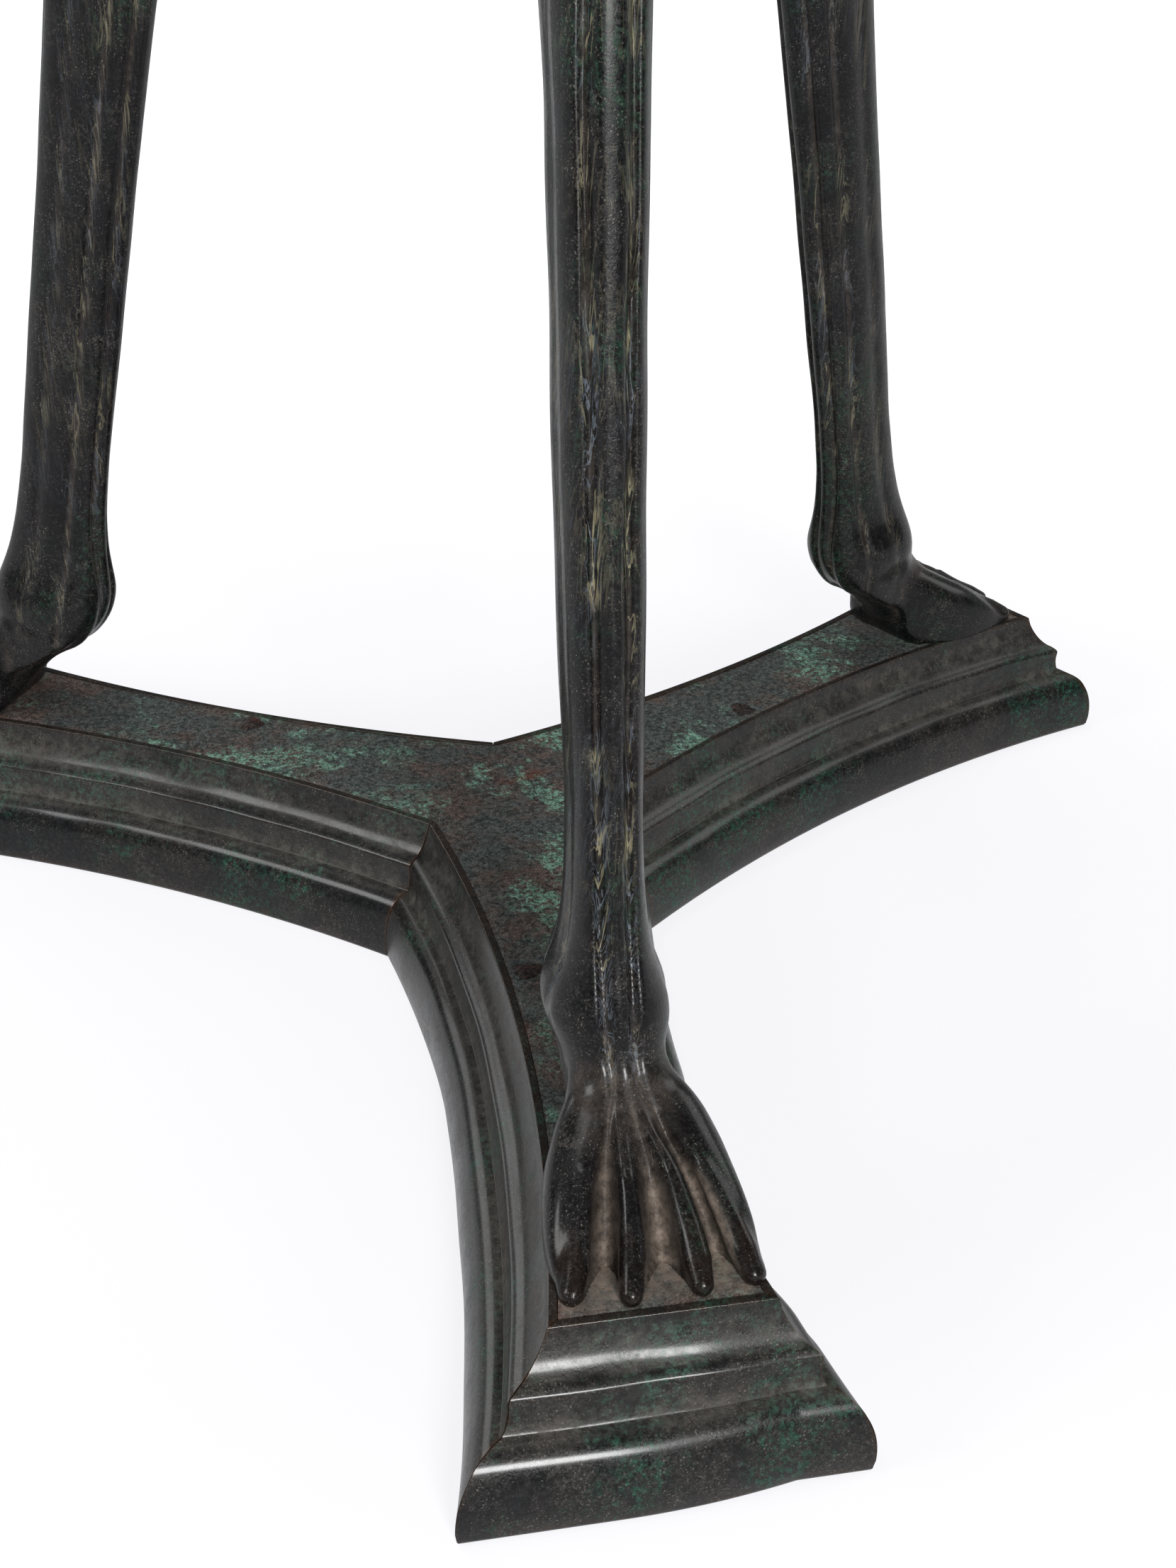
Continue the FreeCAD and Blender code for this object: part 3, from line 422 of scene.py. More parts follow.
def lathe(outline: np.ndarray, centre: Point, around: int, flutes: "Flutes | None" = None) -> Shell:
    """Turn a closed outline about an upright axis.

    Args:
        outline: rows of radius and height.
        centre: where the axis stands.
        around: how many steps the turn has.
        flutes: ribs that modulate the radius, or None.

    Returns:
        The points and the faces.
    """
    turn = full_turn(around)[:, None]
    radius = np.repeat(outline[None, :, 0], around, 0)
    height = np.repeat(outline[None, :, 1], around, 0)
    if flutes is not None:
        radius = radius + flutes.swell(turn, height)
    points = np.stack([centre[0] + radius * np.cos(turn), centre[1] + radius * np.sin(turn), height], -1)
    return points.reshape(-1, 3), ring_faces(around, len(outline))


def tube(sections: np.ndarray) -> Shell:
    """Skin closed sections, and close both ends.

    Args:
        sections: an array of sections by points by x, y, z.

    Returns:
        The points and the faces.
    """
    rows, columns, _ = sections.shape
    faces = grid_faces(rows, columns, wrap=True).tolist()
    faces.append(list(range(columns))[::-1])
    faces.append(list(range((rows - 1) * columns, rows * columns)))
    return sections.reshape(-1, 3), faces


def merged(parts: list[Shell]) -> Shell:
    """Put several shells in one.

    Args:
        parts: the shells.

    Returns:
        The points and the faces.
    """
    points, faces, base = [], [], 0
    for cloud, polygons in parts:
        points.append(cloud)
        faces += [[index + base for index in face] for face in polygons]
        base += len(cloud)
    return np.concatenate(points), faces


def blended(first: np.ndarray, second: np.ndarray, reach: float) -> np.ndarray:
    """Join two distance fields with a soft fillet of a given reach.

    Args:
        first: one field.
        second: the other field.
        reach: how far the fillet reaches.

    Returns:
        The joined field, below zero inside.
    """
    share = np.clip(0.5 + 0.5 * (second - first) / reach, 0, 1)
    return second + (first - second) * share - reach * share * (1 - share)


def surface_net(values: np.ndarray) -> tuple[np.ndarray, np.ndarray]:
    """Find the surface where a field on a grid is zero.

    Args:
        values: the field, below zero inside.

    Returns:
        The surface's vertices in grid steps, and its quads.
    """
    inside = values < 0
    shape = tuple(n - 1 for n in values.shape)
    offsets = [(i, j, k) for i in (0, 1) for j in (0, 1) for k in (0, 1)]
    corners = [inside[i:i + shape[0], j:j + shape[1], k:k + shape[2]] for i, j, k in offsets]
    filled = sum(corner.astype(np.int8) for corner in corners)
    cells = np.argwhere((filled > 0) & (filled < 8))
    number = np.full(shape, -1, dtype=np.int64)
    number[tuple(cells.T)] = np.arange(len(cells))
    total = np.zeros((len(cells), 3))
    count = np.zeros(len(cells))
    quads = []
    for axis in range(3):
        step = np.eye(3, dtype=int)[axis]
        across = [other for other in range(3) if other != axis]
        for first in (0, 1):
            for second in (0, 1):
                start = np.zeros(3, dtype=int)
                start[across[0]], start[across[1]] = first, second
                low = values[tuple((cells + start).T)]
                high = values[tuple((cells + start + step).T)]
                cut = (low < 0) != (high < 0)
                place = np.where(cut, low / np.where(cut, low - high, 1), 0)
                total += np.where(cut[:, None], start + place[:, None] * step, 0)
                count += cut
        ends = [slice(None)] * 3
        ends[axis] = slice(0, -1)
        others = [slice(None)] * 3
        others[axis] = slice(1, None)
        edges = np.argwhere(inside[tuple(ends)] != inside[tuple(others)])
        edges = edges[(edges[:, across[0]] > 0) & (edges[:, across[1]] > 0)]
        edges = edges[(edges[:, across[0]] < shape[across[0]]) & (edges[:, across[1]] < shape[across[1]])]
        ring = []
        for first, second in ((1, 1), (0, 1), (0, 0), (1, 0)):
            near = edges.copy()
            near[:, across[0]] -= first
            near[:, across[1]] -= second
            ring.append(number[tuple(near.T)])
        quads.append(np.stack(ring, -1))
    faces = np.concatenate(quads)
    return cells + total / count[:, None], faces[(faces >= 0).all(1)]


# ---------------------------------------------------------------- material tools


class Wiring:
    """Adds and joins the nodes of one material or node group."""

    def __init__(self, tree: bpy.types.NodeTree) -> None:
        """Start with an empty tree."""
        self.tree = tree
        tree.nodes.clear()

    def add(self, kind: str, inputs: dict | None = None, **settings: object) -> bpy.types.Node:
        """Add a node.

        Args:
            kind: the node's type without its common first word.
            inputs: values or sockets for its inputs, by name or place.
            settings: values for the node's own properties.

        Returns:
            The new node.
        """
        node = self.tree.nodes.new(f"ShaderNode{kind}")
        for name, value in settings.items():
            setattr(node, name, value)
        self.feed(node, inputs or {})
        return node

    def feed(self, node: bpy.types.Node, inputs: dict) -> None:
        """Join a node's inputs to sockets, or set them to values.

        Args:
            node: the node.
            inputs: sockets or values by the inputs' names or places.
        """
        for name, value in inputs.items():
            if isinstance(value, Socket):
                self.tree.links.new(value, node.inputs[name])
            else:
                node.inputs[name].default_value = value

    def math(self, operation: str, first: object, second: object = 0.0, clamp: bool = False) -> Socket:
        """Return the result of a calculation on one or two values."""
        return self.add("Math", {0: first, 1: second}, operation=operation, use_clamp=clamp).outputs[0]

    def plus(self, first: object, second: object, clamp: bool = False) -> Socket:
        """Return the sum of two values."""
        return self.math("ADD", first, second, clamp)

    def times(self, first: object, second: object, clamp: bool = False) -> Socket:
        """Return the product of two values."""
        return self.math("MULTIPLY", first, second, clamp)

    def ramp(self, value: Socket, low: float, high: float, start: float = 0.0, end: float = 1.0) -> Socket:
        """Return a value eased from start at low to end at high."""
        names = {"Value": value, "From Min": low, "From Max": high, "To Min": start, "To Max": end}
        return self.add("MapRange", names, interpolation_type="SMOOTHSTEP").outputs["Result"]

    def mix(self, share: object, first: object, second: object, blend: str = "MIX") -> Socket:
        """Return a colour between two."""
        node = self.add("Mix", {0: share, 6: first, 7: second}, data_type="RGBA", blend_type=blend)
        return node.outputs[2]

    def noise(
        self, place: Socket, scale: float, detail: float = 4.0, roughness: float = 0.55, warp: float = 0.0,
    ) -> Socket:
        """Return cloudy noise at a place."""
        names = {"Vector": place, "Scale": scale, "Detail": detail, "Roughness": roughness}
        return self.add("TexNoise", {**names, "Distortion": warp}).outputs[0]

    def mask(self, mask: Mask) -> Socket:
        """Return a value that the mesh carries."""
        return self.add("Attribute", attribute_name=mask.value).outputs["Fac"]

    def seen(self) -> Socket:
        """Return 1 for rays that come straight from the camera or through something clear."""
        path = self.add("LightPath")
        return self.math("MAXIMUM", path.outputs["Is Camera Ray"], path.outputs["Is Transmission Ray"])


def colour(red: float, green: float, blue: float) -> Colour:
    """Return a linear colour from display values between 0 and 255.

    Args:
        red: the display's red.
        green: its green.
        blue: its blue.

    Returns:
        The colour with full cover.
    """
    shown = (red, green, blue)
    return (*(((c / 255 + 0.055) / 1.055) ** 2.4 if c > 10 else c / 255 / 12.92 for c in shown), 1.0)


def start_material(name: str) -> tuple[bpy.types.Material, Wiring]:
    """Start an empty material, and return it with its wiring.

    Args:
        name: the material's name.

    Returns:
        The material and its wiring.
    """
    material = bpy.data.materials.new(name)
    material.use_nodes = True
    return material, Wiring(material.node_tree)


def start_group(
    name: str, inputs: dict[str, str], outputs: dict[str, str],
) -> tuple[Wiring, bpy.types.Node, bpy.types.Node]:
    """Start a node group.

    Args:
        name: the group's name.
        inputs: socket types of its inputs by name.
        outputs: socket types of its outputs by name.

    Returns:
        Its wiring, its input node and its output node.
    """
    group = bpy.data.node_groups.new(name, "ShaderNodeTree")
    wiring = Wiring(group)
    for way, sockets in (("INPUT", inputs), ("OUTPUT", outputs)):
        for label, kind in sockets.items():
            group.interface.new_socket(label, in_out=way, socket_type=f"NodeSocket{kind}")
    return wiring, group.nodes.new("NodeGroupInput"), group.nodes.new("NodeGroupOutput")


FILM_GREY = colour(92, 88, 80)
SPECK_GREY = colour(132, 128, 118)
BRICK_RED = colour(104, 52, 34)
VEIN_GREY = colour(74, 78, 80)
VEIN_BLUE = colour(112, 122, 132)
VEIN_CREAM = colour(150, 144, 116)


class Effects:
    """The node groups that several finishes use."""

    made: dict[str, bpy.types.NodeTree] = {}

    @classmethod
    def place(cls, wiring: Wiring, name: str, inputs: dict) -> bpy.types.Node:
        """Put one effect in a material, building it the first time.

        Args:
            wiring: the material's wiring.
            name: the method that builds the effect.
            inputs: sockets or values by the effect's inputs.

        Returns:
            The effect's node.
        """
        if name not in cls.made:
            cls.made[name] = getattr(cls, name)()
        return wiring.add("Group", inputs, node_tree=cls.made[name])

    @staticmethod
    def patina() -> bpy.types.NodeTree:
        """Clouds of dark, brown and green patina over cast bronze."""
        wiring, source, result = start_group(
            "Patina",
            {"Place": "Vector", "Dark": "Color", "Brown": "Color", "Green": "Color", "Green Amount": "Float"},
            {"Color": "Color", "Roughness": "Float", "Height": "Float"},
        )
        place = source.outputs["Place"]
        broad = wiring.noise(place, 15.0, 5.0, 0.6)
        middle = wiring.noise(place, 70.0, 8.0, 0.72)
        fine = wiring.noise(place, 620.0, 4.0, 0.65)
        grain = wiring.noise(place, 1700.0, 3.0, 0.6)
        clouds = wiring.plus(wiring.times(broad, 0.5), wiring.times(middle, 0.5))
        brown = wiring.ramp(clouds, 0.44, 0.57)
        tone = wiring.mix(brown, source.outputs["Dark"], source.outputs["Brown"])
        film = wiring.ramp(wiring.noise(place, 46.0, 9.0, 0.78, 0.5), 0.50, 0.68)
        film = wiring.times(film, wiring.ramp(wiring.plus(fine, grain), 0.86, 1.10))
        tone = wiring.mix(wiring.times(film, 0.20), tone, FILM_GREY)
        cloud = wiring.ramp(wiring.noise(place, 24.0, 6.0, 0.70, 0.4), 0.48, 0.62)
        stipple = wiring.ramp(wiring.noise(place, 480.0, 5.0, 0.74), 0.45, 0.60)
        stippled = wiring.times(cloud, stipple)
        green = wiring.times(stippled, source.outputs["Green Amount"], True)
        tone = wiring.mix(green, tone, source.outputs["Green"])
        shade = wiring.ramp(fine, 0.34, 0.66, 0.52, 1.50)
        shade = wiring.times(shade, wiring.ramp(grain, 0.32, 0.68, 0.50, 1.60))
        grey = wiring.add("CombineColor", {0: shade, 1: shade, 2: shade}).outputs[0]
        tone = wiring.mix(1.0, tone, grey, "MULTIPLY")
        specks = wiring.times(wiring.ramp(grain, 0.61, 0.69), wiring.ramp(middle, 0.42, 0.58))
        tone = wiring.mix(wiring.times(specks, 0.7), tone, SPECK_GREY)
        rough = wiring.plus(middle, wiring.times(fine, 0.5))
        rough = wiring.ramp(rough, 0.60, 0.92, 0.20, 0.42)
        rough = wiring.plus(rough, wiring.times(wiring.plus(green, film), 0.18), True)
        height = wiring.plus(wiring.times(middle, 0.45), wiring.times(fine, 0.38))
        height = wiring.plus(height, wiring.times(grain, 0.17))
        wiring.feed(result, {"Color": tone, "Roughness": rough, "Height": height})
        return wiring.tree

    @staticmethod
    def pits() -> bpy.types.NodeTree:
        """Small casting pits, some of them filled with pale dust."""
        wiring, source, result = start_group(
            "Pits",
            {"Place": "Vector", "Scale": "Float", "Amount": "Float"},
            {"Height": "Float", "Mask": "Float"},
        )
        place = source.outputs["Place"]
        cells = wiring.add("TexVoronoi", {"Vector": place, "Scale": source.outputs["Scale"]}, feature="F1")
        rare = wiring.ramp(wiring.noise(place, 160.0, 2.0), 0.48, 0.62)
        pit = wiring.times(wiring.ramp(cells.outputs["Distance"], 0.08, 0.30, 1.0, 0.0), rare)
        pit = wiring.times(pit, source.outputs["Amount"], True)
        wiring.feed(result, {"Height": wiring.math("SUBTRACT", 1.0, pit), "Mask": pit})
        return wiring.tree

    @staticmethod
    def dust() -> bpy.types.NodeTree:
        """Pale dust that stays in hollows, broken up by noise."""
        wiring, source, result = start_group(
            "Dust",
            {"Place": "Vector", "Color": "Color", "Roughness": "Float", "Hollow": "Float", "Dust": "Color",
             "Amount": "Float"},
            {"Color": "Color", "Roughness": "Float", "Mask": "Float"},
        )
        place = source.outputs["Place"]
        broken = wiring.ramp(wiring.noise(place, 240.0, 6.0, 0.7), 0.36, 0.66)
        broad = wiring.ramp(wiring.noise(place, 38.0, 3.0), 0.34, 0.62, 0.35, 1.0)
        patches = wiring.times(broad, wiring.plus(wiring.times(broken, 0.7), 0.3))
        level = wiring.times(source.outputs["Hollow"], patches)
        level = wiring.times(level, source.outputs["Amount"], True)
        tone = wiring.mix(level, source.outputs["Color"], source.outputs["Dust"])
        rough = wiring.plus(source.outputs["Roughness"], wiring.times(level, 0.35), True)
        wiring.feed(result, {"Color": tone, "Roughness": rough, "Mask": level})
        return wiring.tree

    @staticmethod
    def worn() -> bpy.types.NodeTree:
        """Ridges rubbed to smooth brown metal."""
        wiring, source, result = start_group(
            "Worn",
            {"Place": "Vector", "Color": "Color", "Roughness": "Float", "Ridge": "Float", "Metal": "Color",
             "Amount": "Float"},
            {"Color": "Color", "Roughness": "Float", "Metallic": "Float"},
        )
        broken = wiring.ramp(wiring.noise(source.outputs["Place"], 95.0, 5.0, 0.65), 0.36, 0.66)
        patches = wiring.plus(wiring.times(broken, 0.8), 0.2)
        level = wiring.times(source.outputs["Ridge"], patches)
        level = wiring.times(level, source.outputs["Amount"], True)
        tone = wiring.mix(level, source.outputs["Color"], source.outputs["Metal"])
        rough = wiring.math("SUBTRACT", source.outputs["Roughness"], wiring.times(level, 0.14), True)
        metallic = wiring.times(level, 0.8, True)
        wiring.feed(result, {"Color": tone, "Roughness": rough, "Metallic": metallic})
        return wiring.tree

    @staticmethod
    def rust() -> bpy.types.NodeTree:
        """A few brick-red rust spots."""
        wiring, source, result = start_group(
            "Rust", {"Place": "Vector", "Color": "Color", "Amount": "Float"}, {"Color": "Color"})
        place = source.outputs["Place"]
        spots = wiring.ramp(wiring.noise(place, 120.0, 6.0, 0.75, 0.5), 0.38, 0.60)
        level = wiring.times(spots, source.outputs["Amount"], True)
        wiring.feed(result, {"Color": wiring.mix(level, source.outputs["Color"], BRICK_RED)})
        return wiring.tree


@dataclass(frozen=True)
class Finish:
    """A bronze finish: its colours in linear light and how much of each effect it has."""

    name: str
    slot: Slot
    dark: Colour
    brown: Colour
    green: Colour
    dust: Colour
    metal: Colour
    green_amount: float = 0.6
    dust_amount: float = 0.8
    wear_amount: float = 0.8
    rust_amount: float = 0.0
    vein_amount: float = 0.0
    relief: float = 0.62
    sheen: float = 0.16
    gloss: float = 0.30
    mapped: bool = False

    def material(self) -> bpy.types.Material:
        """Return this finish's material, made the first time that it is asked for."""
        known = bpy.data.materials.get(self.name)
        if known:
            return known
        material, wiring = start_material(self.name)
        place = wiring.add("TexCoord").outputs["Object"]
        green = wiring.times(wiring.mask(Mask.VEIN), 9.0) if self.mapped else self.green_amount
        base = Effects.place(wiring, "patina", {
            "Place": place, "Dark": self.dark, "Brown": self.brown, "Green": self.green,
            "Green Amount": green})
        tone, rough = base.outputs["Color"], base.outputs["Roughness"]
        if self.vein_amount:
            tone = self.veins(wiring, place, tone)
        pits = Effects.place(wiring, "pits", {"Place": place, "Scale": 700.0, "Amount": 0.8})
        pitted = wiring.times(pits.outputs["Mask"], 0.35)
        dust = Effects.place(wiring, "dust", {
            "Place": place, "Color": tone, "Roughness": rough, "Dust": self.dust, "Amount": self.dust_amount,
            "Hollow": wiring.math("MAXIMUM", wiring.mask(Mask.DUST), pitted)})
        worn = Effects.place(wiring, "worn", {
            "Place": place, "Color": dust.outputs["Color"], "Roughness": dust.outputs["Roughness"],
            "Ridge": wiring.mask(Mask.WEAR), "Metal": self.metal, "Amount": self.wear_amount})
        tone = worn.outputs["Color"]
        if self.rust_amount:
            level = wiring.mask(Mask.WEAR) if self.mapped else self.rust_amount
            tone = Effects.place(wiring, "rust", {"Place": place, "Color": tone, "Amount": level}).outputs[0]
        height = wiring.plus(base.outputs["Height"], wiring.times(pits.outputs["Height"], 0.5))
        height = wiring.plus(height, wiring.times(dust.outputs["Mask"], 0.3))
        bump = wiring.add("Bump", {"Strength": self.relief, "Distance": 0.6 * METRES, "Height": height})
        bare = wiring.ramp(dust.outputs["Mask"], 0.0, 0.45, 1.0, 0.1)
        shader = wiring.add("BsdfPrincipled", {
            "Base Color": tone, "Roughness": worn.outputs["Roughness"], "Metallic": worn.outputs["Metallic"],
            "Normal": bump.outputs["Normal"], "Specular IOR Level": self.sheen,
            "Coat Weight": wiring.times(bare, self.gloss), "Coat Roughness": 0.17})
        wiring.add("OutputMaterial", {"Surface": shader.outputs[0]})
        return material

    def veins(self, wiring: Wiring, place: Socket, tone: Socket) -> Socket:
        """Run cream, grey and blue-green veins along the leg's grooves.

        Args:
            wiring: the material's wiring.
            place: where on the object a point is.
            tone: the colour under the veins.

        Returns:
            The veined colour.
        """
        long_way = wiring.add("Mapping", {"Vector": place, "Scale": (1.0, 1.0, 0.06)}).outputs[0]
        groove = wiring.times(wiring.mask(Mask.VEIN), self.vein_amount, True)

        def contour(clouds: Socket, level: float, thin: float, patches: Socket) -> Socket:
            """Return a thin line where the clouds have a level, in some patches only."""
            away = wiring.math("ABSOLUTE", wiring.math("SUBTRACT", clouds, level))
            return wiring.times(wiring.ramp(away, thin, 0.030, 1.0, 0.0), patches)

        patchy = wiring.ramp(wiring.noise(place, 30.0, 4.0), 0.42, 0.56)
        cool = wiring.ramp(wiring.noise(place, 17.0, 3.0), 0.46, 0.54)
        grey = wiring.ramp(wiring.noise(long_way, 150.0, 6.0, 0.7, 0.3), 0.52, 0.68)
        blue = contour(wiring.noise(long_way, 260.0, 3.0, 0.6, 1.1), 0.47, 0.004, cool)
        cream = contour(wiring.noise(long_way, 210.0, 4.0, 0.62, 0.5), 0.5, 0.006, patchy)
        stains = ((grey, 0.35, VEIN_GREY), (blue, 0.7, VEIN_BLUE), (cream, 0.85, VEIN_CREAM))
        for line, strength, stain in stains:
            share = wiring.times(wiring.times(line, groove), strength)
            tone = wiring.mix(share, tone, stain)
        return tone


MOULDING = Finish(
    "moulding_patina", Slot.MOULDING, colour(19, 20, 21), colour(36, 33, 31), colour(26, 66, 52),
    colour(112, 108, 102), colour(92, 66, 46), green_amount=0.85, dust_amount=0.6, wear_amount=0.7, gloss=0.45)
PLATE = Finish(
    "plate_patina", Slot.SHEET, colour(72, 77, 76), colour(84, 72, 67), colour(104, 138, 122),
    colour(146, 132, 120), colour(66, 54, 46), dust_amount=0.9, wear_amount=0.0, rust_amount=0.9,
    gloss=0.0, mapped=True)
LEG = Finish(
    "leg_patina", Slot.LEG, colour(12, 12, 14), colour(22, 21, 22), colour(24, 56, 40), colour(142, 128, 116),
    colour(48, 35, 27), green_amount=0.55, dust_amount=1.0, wear_amount=0.8, vein_amount=1.0)
CROWN = Finish(
    "crown_patina", Slot.MOULDING, colour(24, 25, 26), colour(42, 38, 36), colour(30, 70, 56),
    colour(108, 102, 94), colour(84, 60, 44), green_amount=0.85, dust_amount=0.8, wear_amount=0.6)
BASIN = Finish(
    "bowl_patina", Slot.BOWL, colour(27, 28, 28), colour(48, 42, 38), colour(40, 80, 66),
    colour(106, 102, 92), colour(90, 64, 46), green_amount=0.85, dust_amount=0.6, wear_amount=0.6)
IRON = Finish(
    "rusty_iron", Slot.IRON, colour(44, 40, 39), colour(56, 44, 40), colour(104, 46, 34), colour(112, 78, 64),
    colour(70, 54, 48), dust_amount=0.4, wear_amount=0.2, relief=0.9, sheen=0.1, gloss=0.0, mapped=True)


# ---------------------------------------------------------------- the base


@dataclass
class BasePlan:
    """The plan of the base at its sharp top edge, one arm at a time."""

    tip_radius: float = 270.0
    tip_half_width: float = 31.9
    waist_half_width: float = 19.5
    top: float = PLATE_TOP

    def __post_init__(self) -> None:
        """Work out the arc of an arm's side."""
        corner = self.tip_half_width / math.sqrt(3)
        chord = (self.tip_radius - corner) / 2
        sagitta = self.tip_half_width - self.waist_half_width
        self.middle = (self.tip_radius + corner) / 2
        self.arc = (chord ** 2 + sagitta ** 2) / (2 * sagitta)
        self.arc_centre = self.waist_half_width + self.arc

    def half_width(self, outward: np.ndarray, offset: float = 0.0) -> np.ndarray:
        """Return an arm's half width at a distance from the axis, the edge moved out by offset."""
        return self.arc_centre - np.sqrt((self.arc - offset) ** 2 - (outward - self.middle) ** 2)

    def corner(self, offset: float) -> float:
        """Return how far from the axis two arms' edges meet, when moved out by offset.

        Args:
            offset: how far out the edges are moved.

        Returns:
            The distance from the axis.
        """
        along = 0.5 * self.middle + math.sin(math.radians(60)) * self.arc_centre
        reach = self.middle ** 2 + self.arc_centre ** 2 - (self.arc - offset) ** 2
        return along - math.sqrt(along ** 2 - reach)

    def side_turns(self, offset: float) -> tuple[float, float]:
        """Return the angles about the arc's centre where a side strip starts and ends.

        Args:
            offset: how far out the edge is moved.

        Returns:
            The two angles in radians.
        """
        meeting = self.corner(offset) * 0.5
        radius = self.arc - offset
        start = math.asin((meeting - self.middle) / radius)
        end = math.asin((self.tip_radius + offset - self.middle) / radius)
        return start, end


@dataclass
class Mouldings:
    """The cast mouldings round the base: six curved side strips and three straight end strips."""

    plan: BasePlan
    stations: int = 110
    mitre_gap: float = 0.10
    wave: float = 0.22
    lip: float = 2.6
    chamfer: float = 0.3
    left_bow: float = 3.4
    right_inset: float = 4.0
    end_bow: float = 4.6

    def section(self) -> np.ndarray:
        """Return the moulding's section, as rows of outward distance and height."""
        top = self.plan.top
        corners = [(19.3, 0.0), (20.0, 1.2), (20.3, 4.5)]
        corners += bow((20.3, 6.0), (19.75, 13.0), (18.3, 18.6), 8)
        corners += bow((17.7, 20.0), (16.1, 22.8), (13.6, 24.9), 8)
        corners += bow((12.8, 25.3), (11.4, 25.6), (10.3, 25.7), 4)
        corners += bow((9.6, 27.0), (9.0, 30.6), (9.1, 34.4), 5)
        corners += [(9.2, 35.2), (8.9, 36.3), (8.0, 37.2)]
        corners += bow((7.4, 37.7), (3.9, 41.0), (0.9, 47.2), 14)
        corners += [(0.35, 49.4), (0.0, top)]
        corners += [(-self.lip, top), (-self.lip, 47.5), (-13.6, 47.5), (-13.6, 43.5), (-3.7, 43.5)]
        corners += [(2.4, 33.0), (8.6, 22.0), (16.2, 4.6), (15.6, 0.0)]
        return rounded(corners, 0.5)

    def shares(self) -> np.ndarray:
        """Return the stations along a strip, close together at its mitred ends."""
        even = np.linspace(0.018, 0.982, self.stations)
        return np.concatenate([[0, 0.0006, 0.004, 0.010], even, [0.990, 0.996, 0.9994, 1]])

    def sections(self) -> list[np.ndarray]:
        """Return the section of each station: a little smaller at the very ends."""
        full = self.section()
        ahead = np.roll(full, -1, 0) - np.roll(full, 1, 0)
        inward = np.stack([-ahead[:, 1], ahead[:, 0]], -1) / np.linalg.norm(ahead, axis=1)[:, None]
        after = np.roll(full, -1, 0)
        area = (full[:, 0] * after[:, 1] - full[:, 1] * after[:, 0]).sum()
        small = full + math.copysign(self.chamfer, area) * inward
        return [small] + [full] * (len(self.shares()) - 2) + [small]

    def build(self) -> None:
        """Build every strip of every arm."""
        share = self.shares()[:, None]
        section = np.array(self.sections())
        offset, height = section[..., 0], section[..., 1]
        turns = np.array([[self.plan.side_turns(d) for d in row] for row in offset])
        spare = self.mitre_gap / self.plan.arc
        turn = turns[..., 0] + spare + share * (turns[..., 1] - turns[..., 0] - 2 * spare)
        radius = self.plan.arc - offset
        side_out = self.plan.middle + radius * np.sin(turn)
        side_across = self.plan.arc_centre - radius * np.cos(turn)
        end_out = self.plan.tip_radius + offset
        reach = np.sqrt((self.plan.arc - offset) ** 2 - (end_out - self.plan.middle) ** 2)
        end_across = (self.plan.arc_centre - reach - self.mitre_gap) * (2 * share - 1)
        strips = {
            "side_strips_a": (side_out, side_across, "side_mouldings_a"),
            "side_strips_b": (side_out, -side_across, "side_mouldings_b"),
            "end_strips": (end_out, end_across, "end_mouldings"),
        }
        for seed, (name, (outward, across, node)) in enumerate(strips.items()):
            local = np.stack([outward, across, height], -1)
            shells = [self.finished(local.copy(), arm, 10 * seed + index) for index, arm in enumerate(ARMS)]
            add_piece(name, *merged(shells), MOULDING, replaced=(node,), masks=self.masks(local), spread=4)

    def finished(self, points: np.ndarray, arm: Arm, seed: int) -> Shell:
        """Give a strip its slight unevenness, turn it to its arm and skin it.

        Args:
            points: stations by section points by x, y, z, in the arm's own frame.
            arm: the arm that it belongs to.
            seed: what its unevenness is drawn from.

        Returns:
            The points and the faces.
        """
        flat = points.reshape(-1, 3)
        shown = eased(1.0, 5.0, flat[:, 2]) * eased(self.plan.top - 0.5, self.plan.top - 6.0, flat[:, 2])
        if arm.name == "front":
            self.bow_front(flat)
        flat[:, 2] += self.wave * shown * ripple(flat, 55.0, seed)
        flat[:, 0] += self.wave * shown * ripple(flat, 34.0, seed + 100)
        flat[:, 1] += self.wave * shown * ripple(flat, 34.0, seed + 200)
        return tube(turned(flat, arm.angle).reshape(points.shape))

    def bow_front(self, flat: np.ndarray) -> None:
        """Bow the front arm's strips as in the photograph: outward low down, inward beside the paw.

        Args:
            flat: rows of x, y, z in the arm's own frame, which are moved.
        """
        low = eased(self.plan.top, 4.0, flat[:, 2])
        bowed = 1 - np.clip((flat[:, 1] + 15.0) / 50.0, 0, 1) ** 2
        swell = low * bowed * eased(215.0, 285.0, flat[:, 0])
        flat[:, 1] -= self.left_bow * low * eased(-4.0, -30.0, flat[:, 1]) * eased(100.0, 190.0, flat[:, 0])
        beside = eased(130.0, 172.0, flat[:, 0]) * eased(264.0, 236.0, flat[:, 0])
        flat[:, 1] -= (self.right_inset + low) * eased(4.0, 18.0, flat[:, 1]) * beside
        flat[:, 0] += self.end_bow * swell

